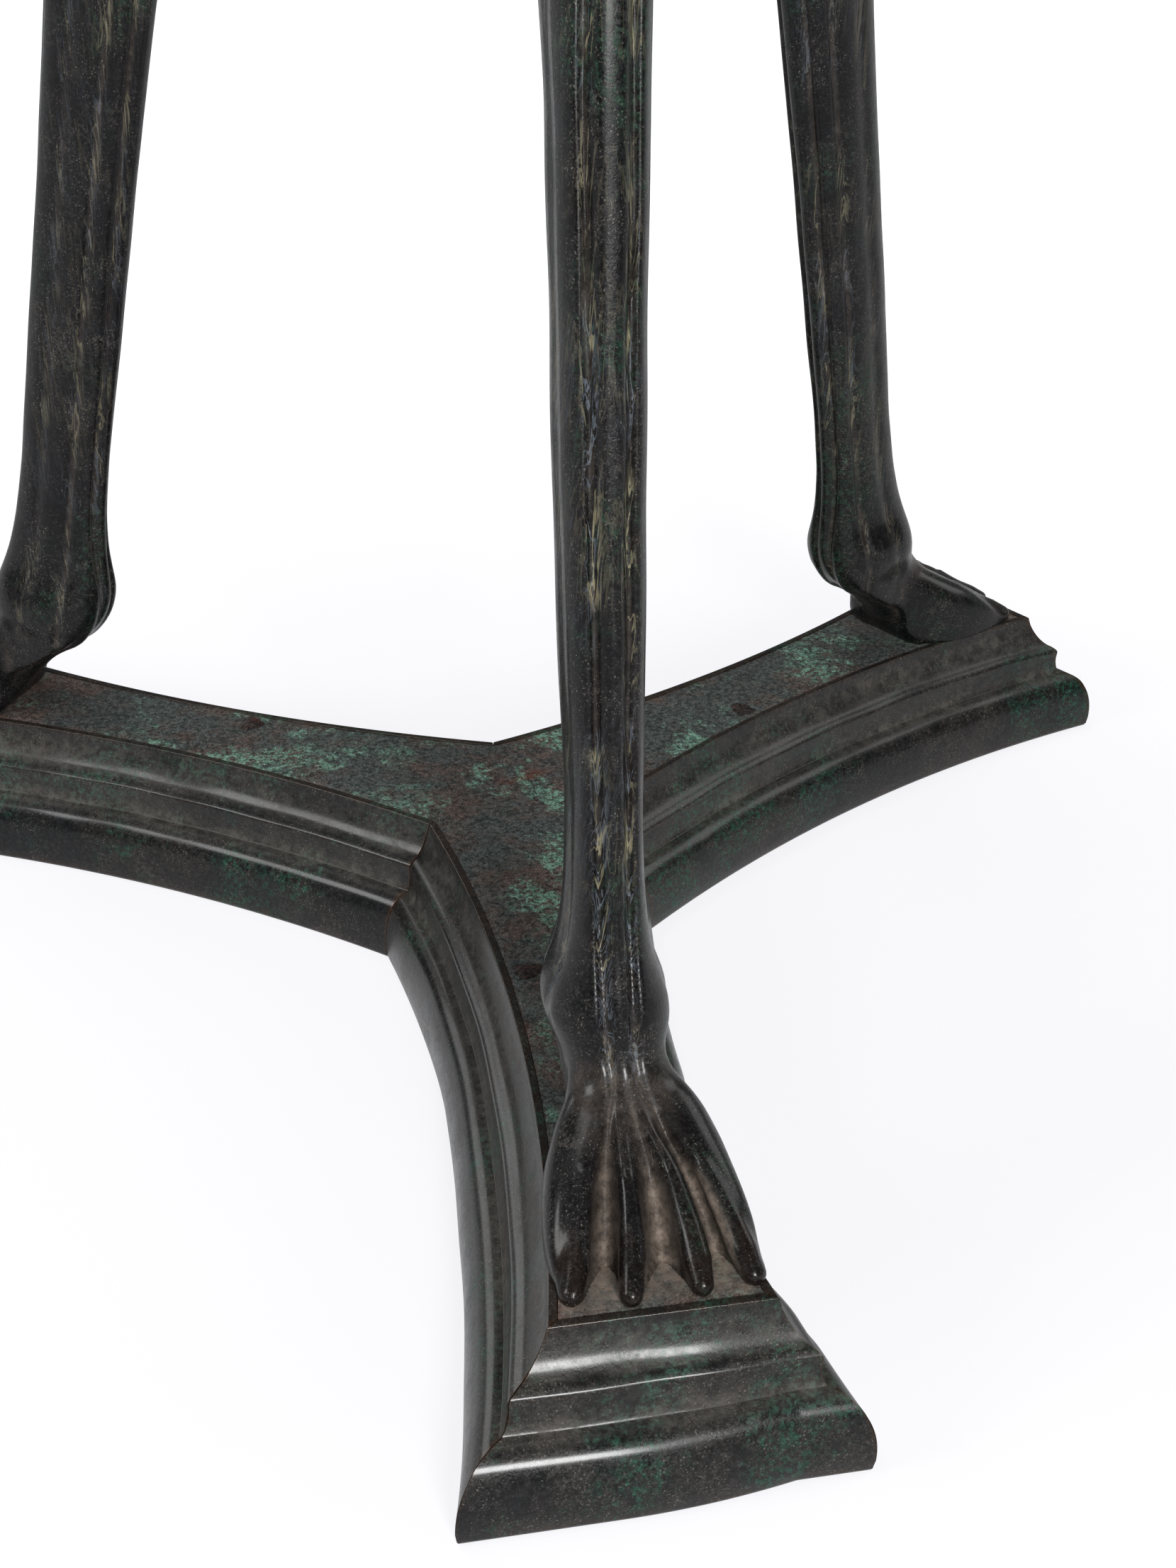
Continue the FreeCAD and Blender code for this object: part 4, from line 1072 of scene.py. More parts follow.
    def masks(self, points: np.ndarray) -> dict[Mask, np.ndarray]:
        """Return the rubbed metal of the ends and the foot, and the dust on the upward faces.

        Args:
            points: stations by section points by x, y, z of one strip in its arm's own frame.

        Returns:
            The masks of the three arms' strips.
        """
        height = points[..., 2]
        ends = np.zeros(height.shape)
        ends[[0, -1]], ends[[1, -2]], ends[[2, -3]] = 1.0, 0.75, 0.25
        foot = 0.22 * hill(height, 1.5, 1.6)
        step = 0.8 * hill(height, 26.3, 1.9) + 0.2 * hill(height, 34.0, 3.0) + 0.55 * hill(height, 44.5, 5.5)
        values = {Mask.WEAR: np.maximum(0.4 * ends, foot), Mask.DUST: step}
        return {mask: np.tile(value.reshape(-1), len(ARMS)) for mask, value in values.items()}


@dataclass
class SheetPlate:
    """The sheet let into the mouldings, slightly dished and pitted."""

    plan: BasePlan
    inset: float = 2.75
    thickness: float = 3.4
    stations: int = 150
    across: int = 40
    middle_rows: int = 17
    stains: tuple[tuple[float, ...], ...] = (
        (10.0, -34.0, 25.0, 62.0, 1.0), (26.0, 16.0, 30.0, 22.0, 0.9), (-60.0, 21.0, 19.0, 13.0, 0.7),
        (-106.0, 46.0, 40.0, 20.0, 0.4), (66.0, 30.0, 34.0, 16.0, 0.8), (150.0, 84.0, 44.0, 22.0, 0.3),
        (-190.0, 100.0, 40.0, 26.0, 0.3))

    def build(self) -> None:
        """Build the plate as three welded arms with a thickness."""
        corner = self.plan.corner(-self.inset)
        bend = corner * 0.5
        tip = self.plan.tip_radius - self.inset
        near = np.linspace(0, bend, self.middle_rows + 1)[:-1]
        outward = np.concatenate([near, np.linspace(bend, tip, self.stations)])
        half = self.plan.half_width(np.maximum(outward, bend), -self.inset)
        half = np.where(outward < bend, outward * math.sqrt(3), half)
        half[0] = 0.02
        share = np.linspace(-1, 1, self.across)
        x = np.repeat(outward[:, None], self.across, 1)
        level = np.stack([x, half[:, None] * share, np.full_like(x, self.plan.top - 0.15)], -1).reshape(-1, 3)
        edge = np.minimum((1 - np.abs(share)) * half[:, None], tip - x).reshape(-1)
        edge = np.where(level[:, 0] < bend + 1.0, np.maximum(edge, 3.0), edge)
        shells = []
        for arm in ARMS:
            flat = turned(level, arm.angle)
            dished = 0.16 * ripple(flat, 46.0, 5) + 0.05 * ripple(flat, 11.0, 6)
            flat[:, 2] += dished - 0.25 * hill(edge, 0.0, 0.7)
            under = flat.copy()
            under[:, 2] = self.plan.top - self.thickness
            shells.append((np.concatenate([flat, under]), self.faces(len(outward))))
        points, faces = merged(shells)
        add_piece("plate", points, faces, PLATE, replaced=("base_plate",), masks=self.masks(points))

    def faces(self, rows: int) -> list[list[int]]:
        """Return one arm's faces: its top, its underside and its open rim.

        Args:
            rows: how many rows of vertices the top has.

        Returns:
            Lists of vertex numbers.
        """
        columns = self.across
        base = rows * columns
        faces = grid_faces(rows, columns).tolist()
        faces += [[i + base for i in face[::-1]] for face in faces]
        rim = [r * columns for r in range(self.middle_rows, rows)]
        rim += [(rows - 1) * columns + c for c in range(1, columns)]
        rim += [r * columns + columns - 1 for r in range(rows - 2, self.middle_rows - 1, -1)]
        return faces + [[a, b, b + base, a + base] for a, b in zip(rim, rim[1:])]

    def masks(self, points: np.ndarray) -> dict[Mask, np.ndarray]:
        """Return the dust before and under the claws, the teal stains and the rusty streak.

        Args:
            points: rows of x, y, z in the part's frame.

        Returns:
            The plate's masks.
        """
        dust = np.zeros(len(points))
        for arm in ARMS:
            local = turned(points, -arm.angle)
            ahead = eased(240.0, 252.0, local[:, 0]) * eased(268.5, 263.0, local[:, 0])
            ahead = ahead * eased(30, 24, np.abs(local[:, 1]))
            under = self.spot((local[:, 0] - 235.0) / 26.0, local[:, 1] / 26.0, 2)
            dust = np.maximum(dust, np.maximum(ahead, 0.6 * under))
        teal = np.zeros(len(points))
        for x, y, wide, deep, strength in self.stains:
            stain = self.spot((points[:, 0] - x) / wide, (points[:, 1] - y) / deep)
            teal = np.maximum(teal, strength * stain)
        along = points[:, 0] - 7.0
        streak = self.spot(along / 10.0, (points[:, 1] - 9.0 - 0.3 * along) / 2.6)
        return {Mask.DUST: dust, Mask.VEIN: np.maximum(teal, 0.12), Mask.WEAR: 0.75 * streak}

    @staticmethod
    def spot(across: np.ndarray, along: np.ndarray, power: float = 1.5) -> np.ndarray:
        """Return 1 in the middle of a soft spot, given distances as shares of its reach."""
        return np.exp(-(across ** 2 + along ** 2) ** power)


@dataclass
class Fixings:
    """The rusted rivets on the plate, and the dowels, washers and wedges under it."""

    plan: BasePlan
    rivet_station: float = 113.0
    rivet_inset: float = 9.2

    def build(self) -> None:
        """Build the rivets' blistered heads and shafts, and dress the hidden ironwork."""
        parts = []
        for index, arm in enumerate(ARMS):
            edge = float(self.plan.half_width(np.array([self.rivet_station]))[0])
            place = np.array([self.rivet_station, self.rivet_inset - edge, self.plan.top])
            parts += [self.head(place, arm, 40 + index), self.shaft(place, arm)]
        points, faces = merged(parts)
        on_front_arm = points[:, 1] < -60.0
        rusty = 0.12 + 0.88 * on_front_arm
        add_piece("rusted_rivets", points, faces, IRON, replaced=("plate_rivets",),
                  masks={Mask.VEIN: rusty}, spread=1)
        for node in ("foot_dowels", "foot_washers", "foot_wedges"):
            dress_node(node, IRON)

    def head(self, place: np.ndarray, arm: Arm, seed: int) -> Shell:
        """Return one flaky, uneven head that lies on the plate.

        Args:
            place: the rivet's place in its arm's own frame.
            arm: the arm that it is on.
            seed: what its unevenness is drawn from.

        Returns:
            The points and the faces.
        """
        turn = full_turn(48)
        share = np.linspace(1.0, 0.04, 12)[:, None]
        reach = share * (1 + 0.13 * np.sin(3 * turn + seed) + 0.08 * np.sin(7 * turn + 2 * seed))
        height = np.broadcast_to(place[2] - 0.2 + 1.5 * (1 - share ** 2.2), reach.shape)
        ahead = place[0] + 4.3 * reach * np.cos(turn)
        sections = np.stack([ahead, place[1] + 5.3 * reach * np.sin(turn), height], -1)
        flat = sections.reshape(-1, 3)
        flat[:, 2] += 0.28 * ripple(flat, 2.6, seed) * eased(place[2], place[2] + 0.5, flat[:, 2])
        return tube(turned(flat, arm.angle).reshape(sections.shape))

    def shaft(self, place: np.ndarray, arm: Arm) -> Shell:
        """Return one shaft with its burr under the ledge.

        Args:
            place: the rivet's place in its arm's own frame.
            arm: the arm that it is on.

        Returns:
            The points and the faces.
        """
        outline = rounded([(2.2, 0.0), (2.2, -8.0), (3.3, -8.3), (3.3, -8.9), (0.05, -9.0), (0.05, 0.0)], 0.2)
        points, faces = lathe(outline + np.array([0.0, place[2] - 0.1]), (place[0], place[1]), 24)
        return turned(points, arm.angle), faces


def dress_node(node: str, finish: Finish) -> None:
    """Give a CAD node that keeps its shape one of the finishes.

    Args:
        node: the CAD node's name.
        finish: the finish it is dressed in.
    """
    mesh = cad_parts[node].data
    mesh.materials.clear()
    mesh.materials.append(finish.material())


# ---------------------------------------------------------------- the legs


@dataclass
class LowerLeg:
    """A lion's paw and the shank above it, cast in one: a soft union of simple forms."""

    floor: float = PLATE_TOP
    top: float = HOCK_HEIGHT
    ankle_height: float = 92.0
    cell: float = 0.8
    tall_cell: float = 2.4
    fine_to: float = 132.0
    reach: tuple[float, float] = (157.0, 271.0)
    half_span: float = 34.0
    depth_heights: tuple[float, ...] = (80, 88, 94, 102, 107, 121, 136, 157, 203, 265, 322, 380, 433, 460)
    depths: tuple[float, ...] = (20, 22, 23.3, 24.1, 23.5, 20.6, 18.9, 18.1, 18.3, 18.7, 19.9, 22.4, 26, 26)
    width_heights: tuple[float, ...] = (
        78, 86, 90, 94, 99, 104, 109, 115, 124, 135, 161, 193, 243, 313, 357, 390, 433, 460)
    widths: tuple[float, ...] = (
        14.2, 15.0, 16.6, 18.2, 18.6, 17.4, 15.2, 13.1, 11.7, 10.9, 10.5, 11.5, 12.1, 12.6, 13.4, 13.9,
        15, 15)
    groove_heights: tuple[float, ...] = (70, 100, 169, 224, 341, 433)
    groove_places: tuple[float, ...] = (3.4, 3.9, 4.1, 4.6, 6.2, 5.6)
    hem_places: tuple[float, ...] = (150, 162, 166, 170, 175, 181, 188, 196, 230)
    hem_heights: tuple[float, ...] = (108, 99, 92.5, 88, 84, 80.5, 77, 72, 60)
    neck: tuple[tuple[float, ...], ...] = (
        (188, -0.3, 101, 15.0), (199, 0, 87, 15.0), (211, 0.5, 73, 14.4), (222, 1, 63, 12.5))
    stations: tuple[float, ...] = (200, 208, 216, 225, 234, 241, 248, 256, 265, 272)
    crest: tuple[float, ...] = (87, 86.5, 85, 81, 76.2, 71.5, 65.4, 57.4, 50.0, 48)
    sink: tuple[float, ...] = (0, 0, 0.8, 3.4, 7.2, 9.8, 11.6, 9.4, 2.0, 0)
    waist: tuple[float, ...] = (76, 73, 68, 62.5, 58.5, 56.5, 55, 53.5, 52, 51)
    sharpness: tuple[float, ...] = (2.6, 2.6, 2.6, 2.6, 2.6, 2.5, 2.3, 1.7, 1.2, 1.1)
    toes: tuple[tuple[float, ...], ...] = (
        (-2.0, -2.6, -4.4, -9.4, -15.0, -18.0, -19.9, -21.6, -23.4, -24.4),
        (-0.8, -1.2, -2.2, -3.7, -4.4, -4.6, -4.9, -6.0, -7.5, -8.2),
        (0.6, 0.6, 1.2, 3.2, 7.0, 9.2, 10.7, 11.6, 12.0, 12.2),
        (2.0, 2.8, 5.2, 10.6, 16.4, 19.8, 22.8, 25.2, 26.6, 27.2),
    )
    valleys: tuple[tuple[float, ...], ...] = (
        (-1.4, -1.9, -3.4, -6.6, -9.4, -10.6, -11.6, -13.0, -14.6, -15.6),
        (-0.1, -0.2, 0.0, 1.0, 2.8, 3.6, 3.9, 3.4, 2.8, 2.4),
        (1.3, 1.8, 3.4, 8.0, 13.2, 16.4, 18.8, 20.2, 20.6, 20.8),
    )
    left_edge: tuple[float, ...] = (-13.4, -15.8, -21.0, -25.3, -27.4, -28.2, -28.4, -27.4, -25.6, -24.6)
    right_edge: tuple[float, ...] = (15.2, 19.0, 24.0, 27.2, 28.9, 29.9, 30.6, 30.2, 28.8, 27.6)
    shoulder_drop: tuple[float, ...] = (0, 0, 0.6, 1.8, 2.4, 2.4, 2.0, 1.2, 0.6, 0)
    claw_tips: tuple[Point, ...] = ((264.0, -23.4), (267.6, -7.9), (266.9, 11.9), (265.2, 26.6))
    sway_heights: tuple[float, ...] = (51, 70, 85, 99, 135, 193, 243, 291, 335, 380, 425)
    front_sway: tuple[float, ...] = (0, 0, -0.6, -1.5, -0.9, -0.6, -0.3, 0.3, 0.95, 1.1, 0)

    def centre(self, height: np.ndarray) -> np.ndarray:
        """Return how far out the shank's axis is at a height."""
        return ANKLE_RADIUS - SHANK_LEAN * (height - self.ankle_height)

    def along(self, x: np.ndarray, numbers: tuple[float, ...]) -> np.ndarray:
        """Return one of the paw's tables at outward distances."""
        return softly(x, self.stations, numbers, 2.5)

    def chain(self, x: np.ndarray, y: np.ndarray, z: np.ndarray, joints: tuple, narrow: float) -> np.ndarray:
        """Return the field of a string of tapering rounded bars.

        Args:
            x: outward distances.
            y: sideways distances.
            z: heights.
            joints: place and radius of each joint of the string.
            narrow: how much narrower than tall the bars are.

        Returns:
            Distances, below zero inside.
        """
        nearest = None
        for start, end in zip(joints, joints[1:]):
            run = np.array(end[:3]) - np.array(start[:3])
            share = (x - start[0]) * run[0] + (y - start[1]) * run[1] + (z - start[2]) * run[2]
            share = np.clip(share / float(run @ run), 0, 1)
            gap_x = x - (start[0] + share * run[0])
            gap_y = (y - (start[1] + share * run[1])) * narrow
            gap_z = z - (start[2] + share * run[2])
            away = np.sqrt(gap_x ** 2 + gap_y ** 2 + gap_z ** 2) - (start[3] + share * (end[3] - start[3]))
            nearest = away if nearest is None else np.minimum(nearest, away)
        return nearest

    def groove(self, x: np.ndarray, y: np.ndarray, z: np.ndarray) -> np.ndarray:
        """Return how deep the long grooves beside the tendons are at a point of the shank.

        Args:
            x: outward distances.
            y: sideways distances.
            z: heights.

        Returns:
            Depths in millimetres.
        """
        depth = softly(z, self.depth_heights, self.depths, 3.0)
        width = softly(z, self.width_heights, self.widths, 3.0)
        place = softly(z, self.groove_heights, self.groove_places, 10.0)
        forward = (x - self.centre(z)) / depth
        strength = 0.85 + 0.15 * eased(96, 135, z)
        strength = strength * eased(440, 405, z) * eased(72, 86, z)
        aside = np.abs(y)
        front = 1.45 * hill(aside, place, 1.75) * eased(0.2, 0.65, forward)
        crease = 0.5 * hill(aside, place, 0.7) * eased(0.2, 0.65, forward)
        back = 1.9 * hill(aside, 0.9 * place, 1.6) * eased(-0.2, -0.65, forward)
        flank = 1.5 * hill((forward + 0.45) * depth, 0.0, 1.8) * eased(0.45, 0.8, aside / width)
        flank = flank + 0.7 * hill((forward - 0.2) * depth, 0.0, 3.0) * eased(0.6, 0.9, aside / width)
        return strength * (front + crease + back + flank)

    def fan(self, x: np.ndarray, y: np.ndarray) -> tuple[np.ndarray, np.ndarray, np.ndarray]:
        """Return the toes' surface, how deep in a valley a point is, and how near the outline.

        Args:
            x: outward distances.
            y: sideways distances.

        Returns:
            Heights, shares from 0 on a ridge to 1 in a valley, and shares from 0 at an outer ridge
            to 1 at the paw's outline.
        """
        order = [line for pair in zip(self.toes, self.valleys) for line in pair] + [self.toes[-1]]
        lines = [self.along(x, line) for line in order]
        crest = self.along(x, self.crest)
        drop = self.along(x, self.shoulder_drop)
        share = np.zeros(np.broadcast_shapes(x.shape, y.shape))
        for index, (low, high) in enumerate(zip(lines, lines[1:])):
            part = np.clip((y - low) / (high - low), 0, 1)
            here = (y >= low) & (y < high)
            share = np.where(here, part if index % 2 == 0 else 1 - part, share)
        valley = np.sin(0.5 * math.pi * share) ** self.along(x, self.sharpness)
        second = 0.9 * hill(y - lines[4], 0.45 * (lines[5] - lines[4]), 1.1)
        second = second * eased(228, 238, x) * eased(258, 250, x)
        middle = 0.5 * (lines[2] + lines[4])
        half = 0.5 * (lines[6] - lines[0])
        height = crest - drop * np.clip(np.abs(y - middle) / half, 0, 1) ** 2
        height = height - self.along(x, self.sink) * valley + second
        left = (lines[0] - y) / (lines[0] - self.along(x, self.left_edge))
        right = (y - lines[6]) / (self.along(x, self.right_edge) - lines[6])
        return height, valley, np.maximum(left, right)

    def field_at(self, x: np.ndarray, y: np.ndarray, z: np.ndarray, low: bool) -> np.ndarray:
        """Return the leg's distance field.

        Args:
            x: outward distances.
            y: sideways distances.
            z: heights.
            low: whether the points are near the paw, which the upper shank leaves out.

        Returns:
            Distances, below zero inside.
        """
        depth = softly(z, self.depth_heights, self.depths, 3.0)
        width = softly(z, self.width_heights, self.widths, 3.0)
        forward = np.abs(x - self.centre(z)) / depth
        sideways = np.abs(y) / width
        ring = (forward ** SQUARENESS + sideways ** SQUARENESS) ** (1 / SQUARENESS)
        shank = (ring - 1) * np.minimum(depth, width) + self.groove(x, y, z)
        if not low:
            return shank
        hem = softly(x, self.hem_places, self.hem_heights, 1.5) + 1.1 * np.cos(2 * math.pi * y / 9.5)
        leg = -blended(-shank, -0.8 * (hem - z), 4.0)
        neck = self.chain(x, y, z, self.neck, 1.13)
        channel = 1.1 * hill(np.abs(y - 0.3), 3.5, 1.7) * eased(203, 209, x) * eased(64, 76, z)
        leg = blended(leg, neck + channel, 4.5)
        height, _, edge = self.fan(x, y)
        waist = self.along(x, self.waist)
        tall = np.maximum(height - waist, 1.5)
        rise = np.maximum(np.maximum((z - waist) / tall, 0.42 * (waist - z) / (waist - 46.0)), 0)
        inner = 0.62 * (z - height)
        edge = np.maximum(edge, 0)
        outer = ((edge ** 2.3 + rise ** 2.3) ** (1 / 2.3) - 1) * np.minimum(8.0, tall)
        paw = np.where(edge > 0, outer, inner)
        behind = -((x - 190.5) * 0.76 + (z - 73.5) * 0.65)
        for limit in (behind, 206.0 - x, x - 264.0):
            paw = -blended(-paw, -limit, 3.0)
        leg = blended(leg, paw, 4.5)
        for toe, (tip, aside) in zip(self.toes, self.claw_tips):
            places = [float(np.interp(tip - back, self.stations, toe)) for back in (29.0, 17.0, 9.5)]
            joints = ((tip - 29.0, places[0], 70.4, 2.2), (tip - 17.0, places[1], 60.9, 3.9),
                      (tip - 9.5, places[2], 56.2, 4.3), (tip - 3.6, aside, 53.0, 3.5))
            leg = blended(leg, self.chain(x, y, z, joints, 1.05), 2.0)
        return np.maximum(leg, self.floor - 0.4 - z)

    def surface(self) -> tuple[np.ndarray, np.ndarray]:
        """Return the leg's points and quads in its arm's own frame."""
        low_z = np.arange(self.floor - 1.5, self.fine_to, self.cell)
        high_z = np.arange(low_z[-1] + self.tall_cell, self.top + 2 * self.tall_cell, self.tall_cell)
        levels = np.concatenate([low_z, high_z])
        shear = self.centre(levels) - self.centre(np.array(self.fine_to))
        shear = np.where(levels > self.fine_to, shear, 0.0)
        ahead = np.arange(self.reach[0] - 2, self.reach[1] + 2, self.cell)
        aside = np.arange(-self.half_span, self.half_span + self.cell, self.cell)
        blocks = []
        for low, part in ((True, slice(0, len(low_z))), (False, slice(len(low_z), None))):
            x = ahead[:, None, None] + (0 if low else shear[None, None, part])
            blocks.append(self.field_at(x, aside[None, :, None], levels[None, None, part], low))
        values = np.concatenate(blocks, 2)
        values = np.maximum(values, (levels - self.top)[None, None, :])
        steps, faces = surface_net(values)
        height = np.interp(steps[:, 2], np.arange(len(levels)), levels)
        lean = np.interp(steps[:, 2], np.arange(len(levels)), shear)
        outward = ahead[0] + steps[:, 0] * self.cell + lean
        return np.stack([outward, aside[0] + steps[:, 1] * self.cell, height], -1), faces

    def build(self) -> None:
        """Build one leg for each arm from the same form, each with its own unevenness."""
        points, faces = self.surface()
        x, y, z = points.T
        vein = np.clip(self.groove(x, y, z) / 1.5, 0, 1) * eased(76, 96, z)
        vein = np.maximum(vein, 0.12 * eased(120, 150, z))
        claw = np.zeros(len(points))
        for tip, aside in self.claw_tips:
            near = np.hypot(y - aside, 0.4 * (x - tip + 7.0))
            claw = np.maximum(claw, eased(5.0, 3.4, near) * eased(244, 252, x))
        _, valley, edge = self.fan(x, y)
        on_paw = eased(212, 222, x) * eased(90, 84, z)
        hollow = valley ** 2.2 * eased(216, 236, x) * (edge < 0.1) + eased(257, 262, x)
        hollow = hollow * on_paw * eased(268, 263, x)
        neck = hill(z, 83, 6.0) * eased(203, 212, x) * eased(18, 8, np.abs(y))
        for index, arm in enumerate(ARMS):
            cast = points.copy()
            held = eased(self.floor + 2, self.floor + 12, z) * eased(435, 420, z)
            cast[:, 1] += 0.2 * ripple(cast, 30.0, 60 + index) * held
            streaks = 0.5 * vein
            if arm.name == "front":
                cast[:, 1] += np.interp(z, self.sway_heights, self.front_sway)
                streaks = vein
            masks = {Mask.WEAR: 0.55 * claw, Mask.VEIN: streaks, Mask.DUST: 0.35 * neck + 0.9 * hollow - claw}
            add_piece(f"leg_{arm.name}", turned(cast, arm.angle), faces.tolist(), LEG,
                      replaced=(f"paw_{arm.name}", f"shank_{arm.name}"), masks=masks,
                      sharp=70.0, spread=4, dusty=LEG_DUST)


@dataclass
class Thigh:
    """The upper leg, bent outward, with tendons and long hollows."""

    band_half: float = 7.0
    around: int = 96
    stations: int = 130
    places: tuple[float, ...] = (0, 0.34, 0.94, 1.0)
    depths: tuple[float, ...] = (HOCK_HALF_DEPTH, 30, 17.6, 17.0)
    widths: tuple[float, ...] = (HOCK_HALF_WIDTH, 18, 13.2, 13.0)

    def axis(self, share: float) -> tuple[float, float, float]:
        """Return a point of the bent axis and its lean in radians.

        Args:
            share: how far along the axis the point is, from 0 to 1.

        Returns:
            The distance outward, the height and the lean.
        """
        low = HOCK_HEIGHT + self.band_half
        rise = THIGH_TOP - low
        out = HOCK_RADIUS - SHANK_LEAN * self.band_half
        outs = (out, out - 0.32 * SHANK_LEAN * rise, HOOP_RADIUS + 8.0, HOOP_RADIUS)
        ups = (low, low + 0.32 * rise, low + 0.60 * rise, low + rise)
        rest = 1 - share
        weights = (rest ** 3, 3 * rest * rest * share, 3 * rest * share * share, share ** 3)
        slopes = (
            -3 * rest * rest, 3 * rest * (rest - 2 * share), 3 * share * (2 * rest - share), 3 * share ** 2)
        run, climb, outward, height = (
            sum(w * n for w, n in zip(factors, numbers))
            for factors in (slopes, weights) for numbers in (outs, ups))
        calm = min(1.0, 5 * share, 5 * (1 - share))
        return outward, height, calm * math.atan2(run, climb)

    def build(self) -> None:
        """Build the thigh of each arm."""
        turn = full_turn(self.around)
        rows, veins = [], []
        shares = np.linspace(0, 1, self.stations)
        stations = [(0.0, (HOCK_RADIUS, HOCK_HEIGHT, 0.0))] + [(share, self.axis(share)) for share in shares]
        for share, (outward, height, lean) in stations:
            depth = np.interp(share, self.places, self.depths)
            width = np.interp(share, self.places, self.widths)
            swell = math.sin(math.pi * share)
            ahead, aside = oval(turn)
            ahead, aside = depth * ahead, width * aside
            grooves = 2.2 * hill(np.abs(aside), 5.2, 2.0) * eased(0.3, 0.75, np.abs(ahead) / depth)
            flank = 1.6 * hill(ahead, -0.35 * depth, 2.6) + 1.2 * hill(ahead, 0.45 * depth, 3.0)
            flank = flank * eased(0.5, 0.85, np.abs(aside) / width)
            cut = eased(0.02, 0.16, share) * eased(1.0, 0.88, share) * (grooves + flank)
            sink = 1 - cut / np.hypot(ahead, aside)
            muscle = 1 + 0.05 * swell * np.cos(2 * turn)
            ahead, aside = ahead * sink * muscle, aside * sink * muscle
            out, up = outward + ahead * math.cos(lean), height - ahead * math.sin(lean)
            rows.append(np.stack([out, aside, up], -1))
            veins.append(np.clip((grooves + flank) / 1.6, 0, 1) * eased(0.03, 0.15, share))
        sections = np.array(rows)
        vein = np.maximum(np.array(veins).reshape(-1), 0.15)
        for index, arm in enumerate(ARMS):
            flat = sections.reshape(-1, 3).copy()
            held = eased(450, 475, flat[:, 2]) * eased(752, 735, flat[:, 2])
            flat[:, 1] += 0.3 * ripple(flat, 40.0, 80 + index) * held
            points, faces = tube(turned(flat, arm.angle).reshape(sections.shape))
            add_piece(f"upper_leg_{arm.name}", points, faces, LEG, replaced=(f"thigh_{arm.name}",),
                      masks={Mask.VEIN: 0.7 * vein}, dusty=LEG_DUST)


@dataclass
class HockBand:
    """The moulded band that covers the joint between a shank and a thigh."""

    around: int = 120

    def build(self) -> None:
        """Build the band of each arm: a bead between two fillets."""
        outline = rounded([(0.15, -7.0), (1.3, -7.0), (1.7, -6.2), (1.7, -4.6), (1.1, -4.2)]
                          + bow((1.2, -3.8), (2.6, 0.0), (1.2, 3.8), 11)
                          + [(1.1, 4.2), (1.7, 4.6), (1.7, 6.2), (1.3, 7.0), (0.15, 7.0)], 0.3)
        spare = outline[None, :, 0]
        ahead, aside = oval(full_turn(self.around))
        ahead = (HOCK_HALF_DEPTH + spare) * ahead[:, None]
        aside = (HOCK_HALF_WIDTH + spare) * aside[:, None]
        rise = np.broadcast_to(outline[None, :, 1], ahead.shape)
        flat = np.stack([HOCK_RADIUS - SHANK_LEAN * rise + ahead, aside, HOCK_HEIGHT + rise], -1)
        add_to_arms("band", "hock_band", flat.reshape(-1, 3), ring_faces(self.around, len(outline)), LEG)


@dataclass
class Tie:
    """The bars and the pierced hub that tie the legs together under the hocks."""

    height: float = 406.0
    hole: float = 24.0
    around: int = 144

    def bar(self) -> Shell:
        """Return one square bar with softened edges, a swelling in the middle and a flange."""
        square = rounded([(-1, -1), (1, -1), (1, 1), (-1, 1)], 0.34, cuts=5)
        shank_rise, below_hock, sunk = 348.0, HOCK_HEIGHT - self.height, 9.0
        lean = (ANKLE_RADIUS - HOCK_RADIUS) * below_hock / shank_rise
        seat = HOCK_RADIUS - HOCK_HALF_DEPTH + sunk + lean
        stations = [(31.2, 4.4), (36.2, 4.4), (37.4, 4.2)]
        stations += [(x, 3.5 + 0.9 * hill(x, 68.0, 7.0)) for x in np.linspace(39, 98, 40)]
        flange = ((-5.4, 3.8), (-4.6, 5.4), (-3.4, 6.0), (-3.0, 7.7), (-0.4, 7.8), (-0.2, 4.4), (7.6, 4.4))
        stations += [(seat + shift, half) for shift, half in flange]
        outward, half = np.array(stations).T[:, :, None]
        across, up = half * square[:, 0], self.height + half * square[:, 1]
        return tube(np.stack([np.broadcast_to(outward, up.shape), across, up], -1))

    def build(self) -> None:
        """Build the three bars and the hub."""
        add_to_arms("tie", "tie_bar", *self.bar(), LEG, spread=1)
        lower = [(self.hole, -6.3), (self.hole + 0.8, -7.5)]
        lower += [(33.5, -7.5), (35.0, -6.6), (35.0, -4.4), (33.9, -4.0)]
        upper = [(radius, -height) for radius, height in reversed(lower)]
        section = rounded(lower + bow((34.0, -3.8), (36.0, 0.0), (34.0, 3.8), 9) + upper, 0.4)
        turn = full_turn(self.around)[:, None]
        nearest = (np.degrees(turn) + 30.0) % 60.0 - 30.0
        hexagon = 1 + (1 / np.cos(np.radians(nearest)) - 1) * 0.92
        radius = section[None, :, 0] * hexagon
        height = np.broadcast_to(self.height + section[None, :, 1], radius.shape)
        quarter = turn + math.pi / 2
        points = np.stack([radius * np.cos(quarter), radius * np.sin(quarter), height], -1).reshape(-1, 3)
        faces = ring_faces(self.around, len(section))
        add_piece("tie_ring", points, faces, LEG, replaced=("tie_hub",), spread=1)


# ---------------------------------------------------------------- the crown and the bowl


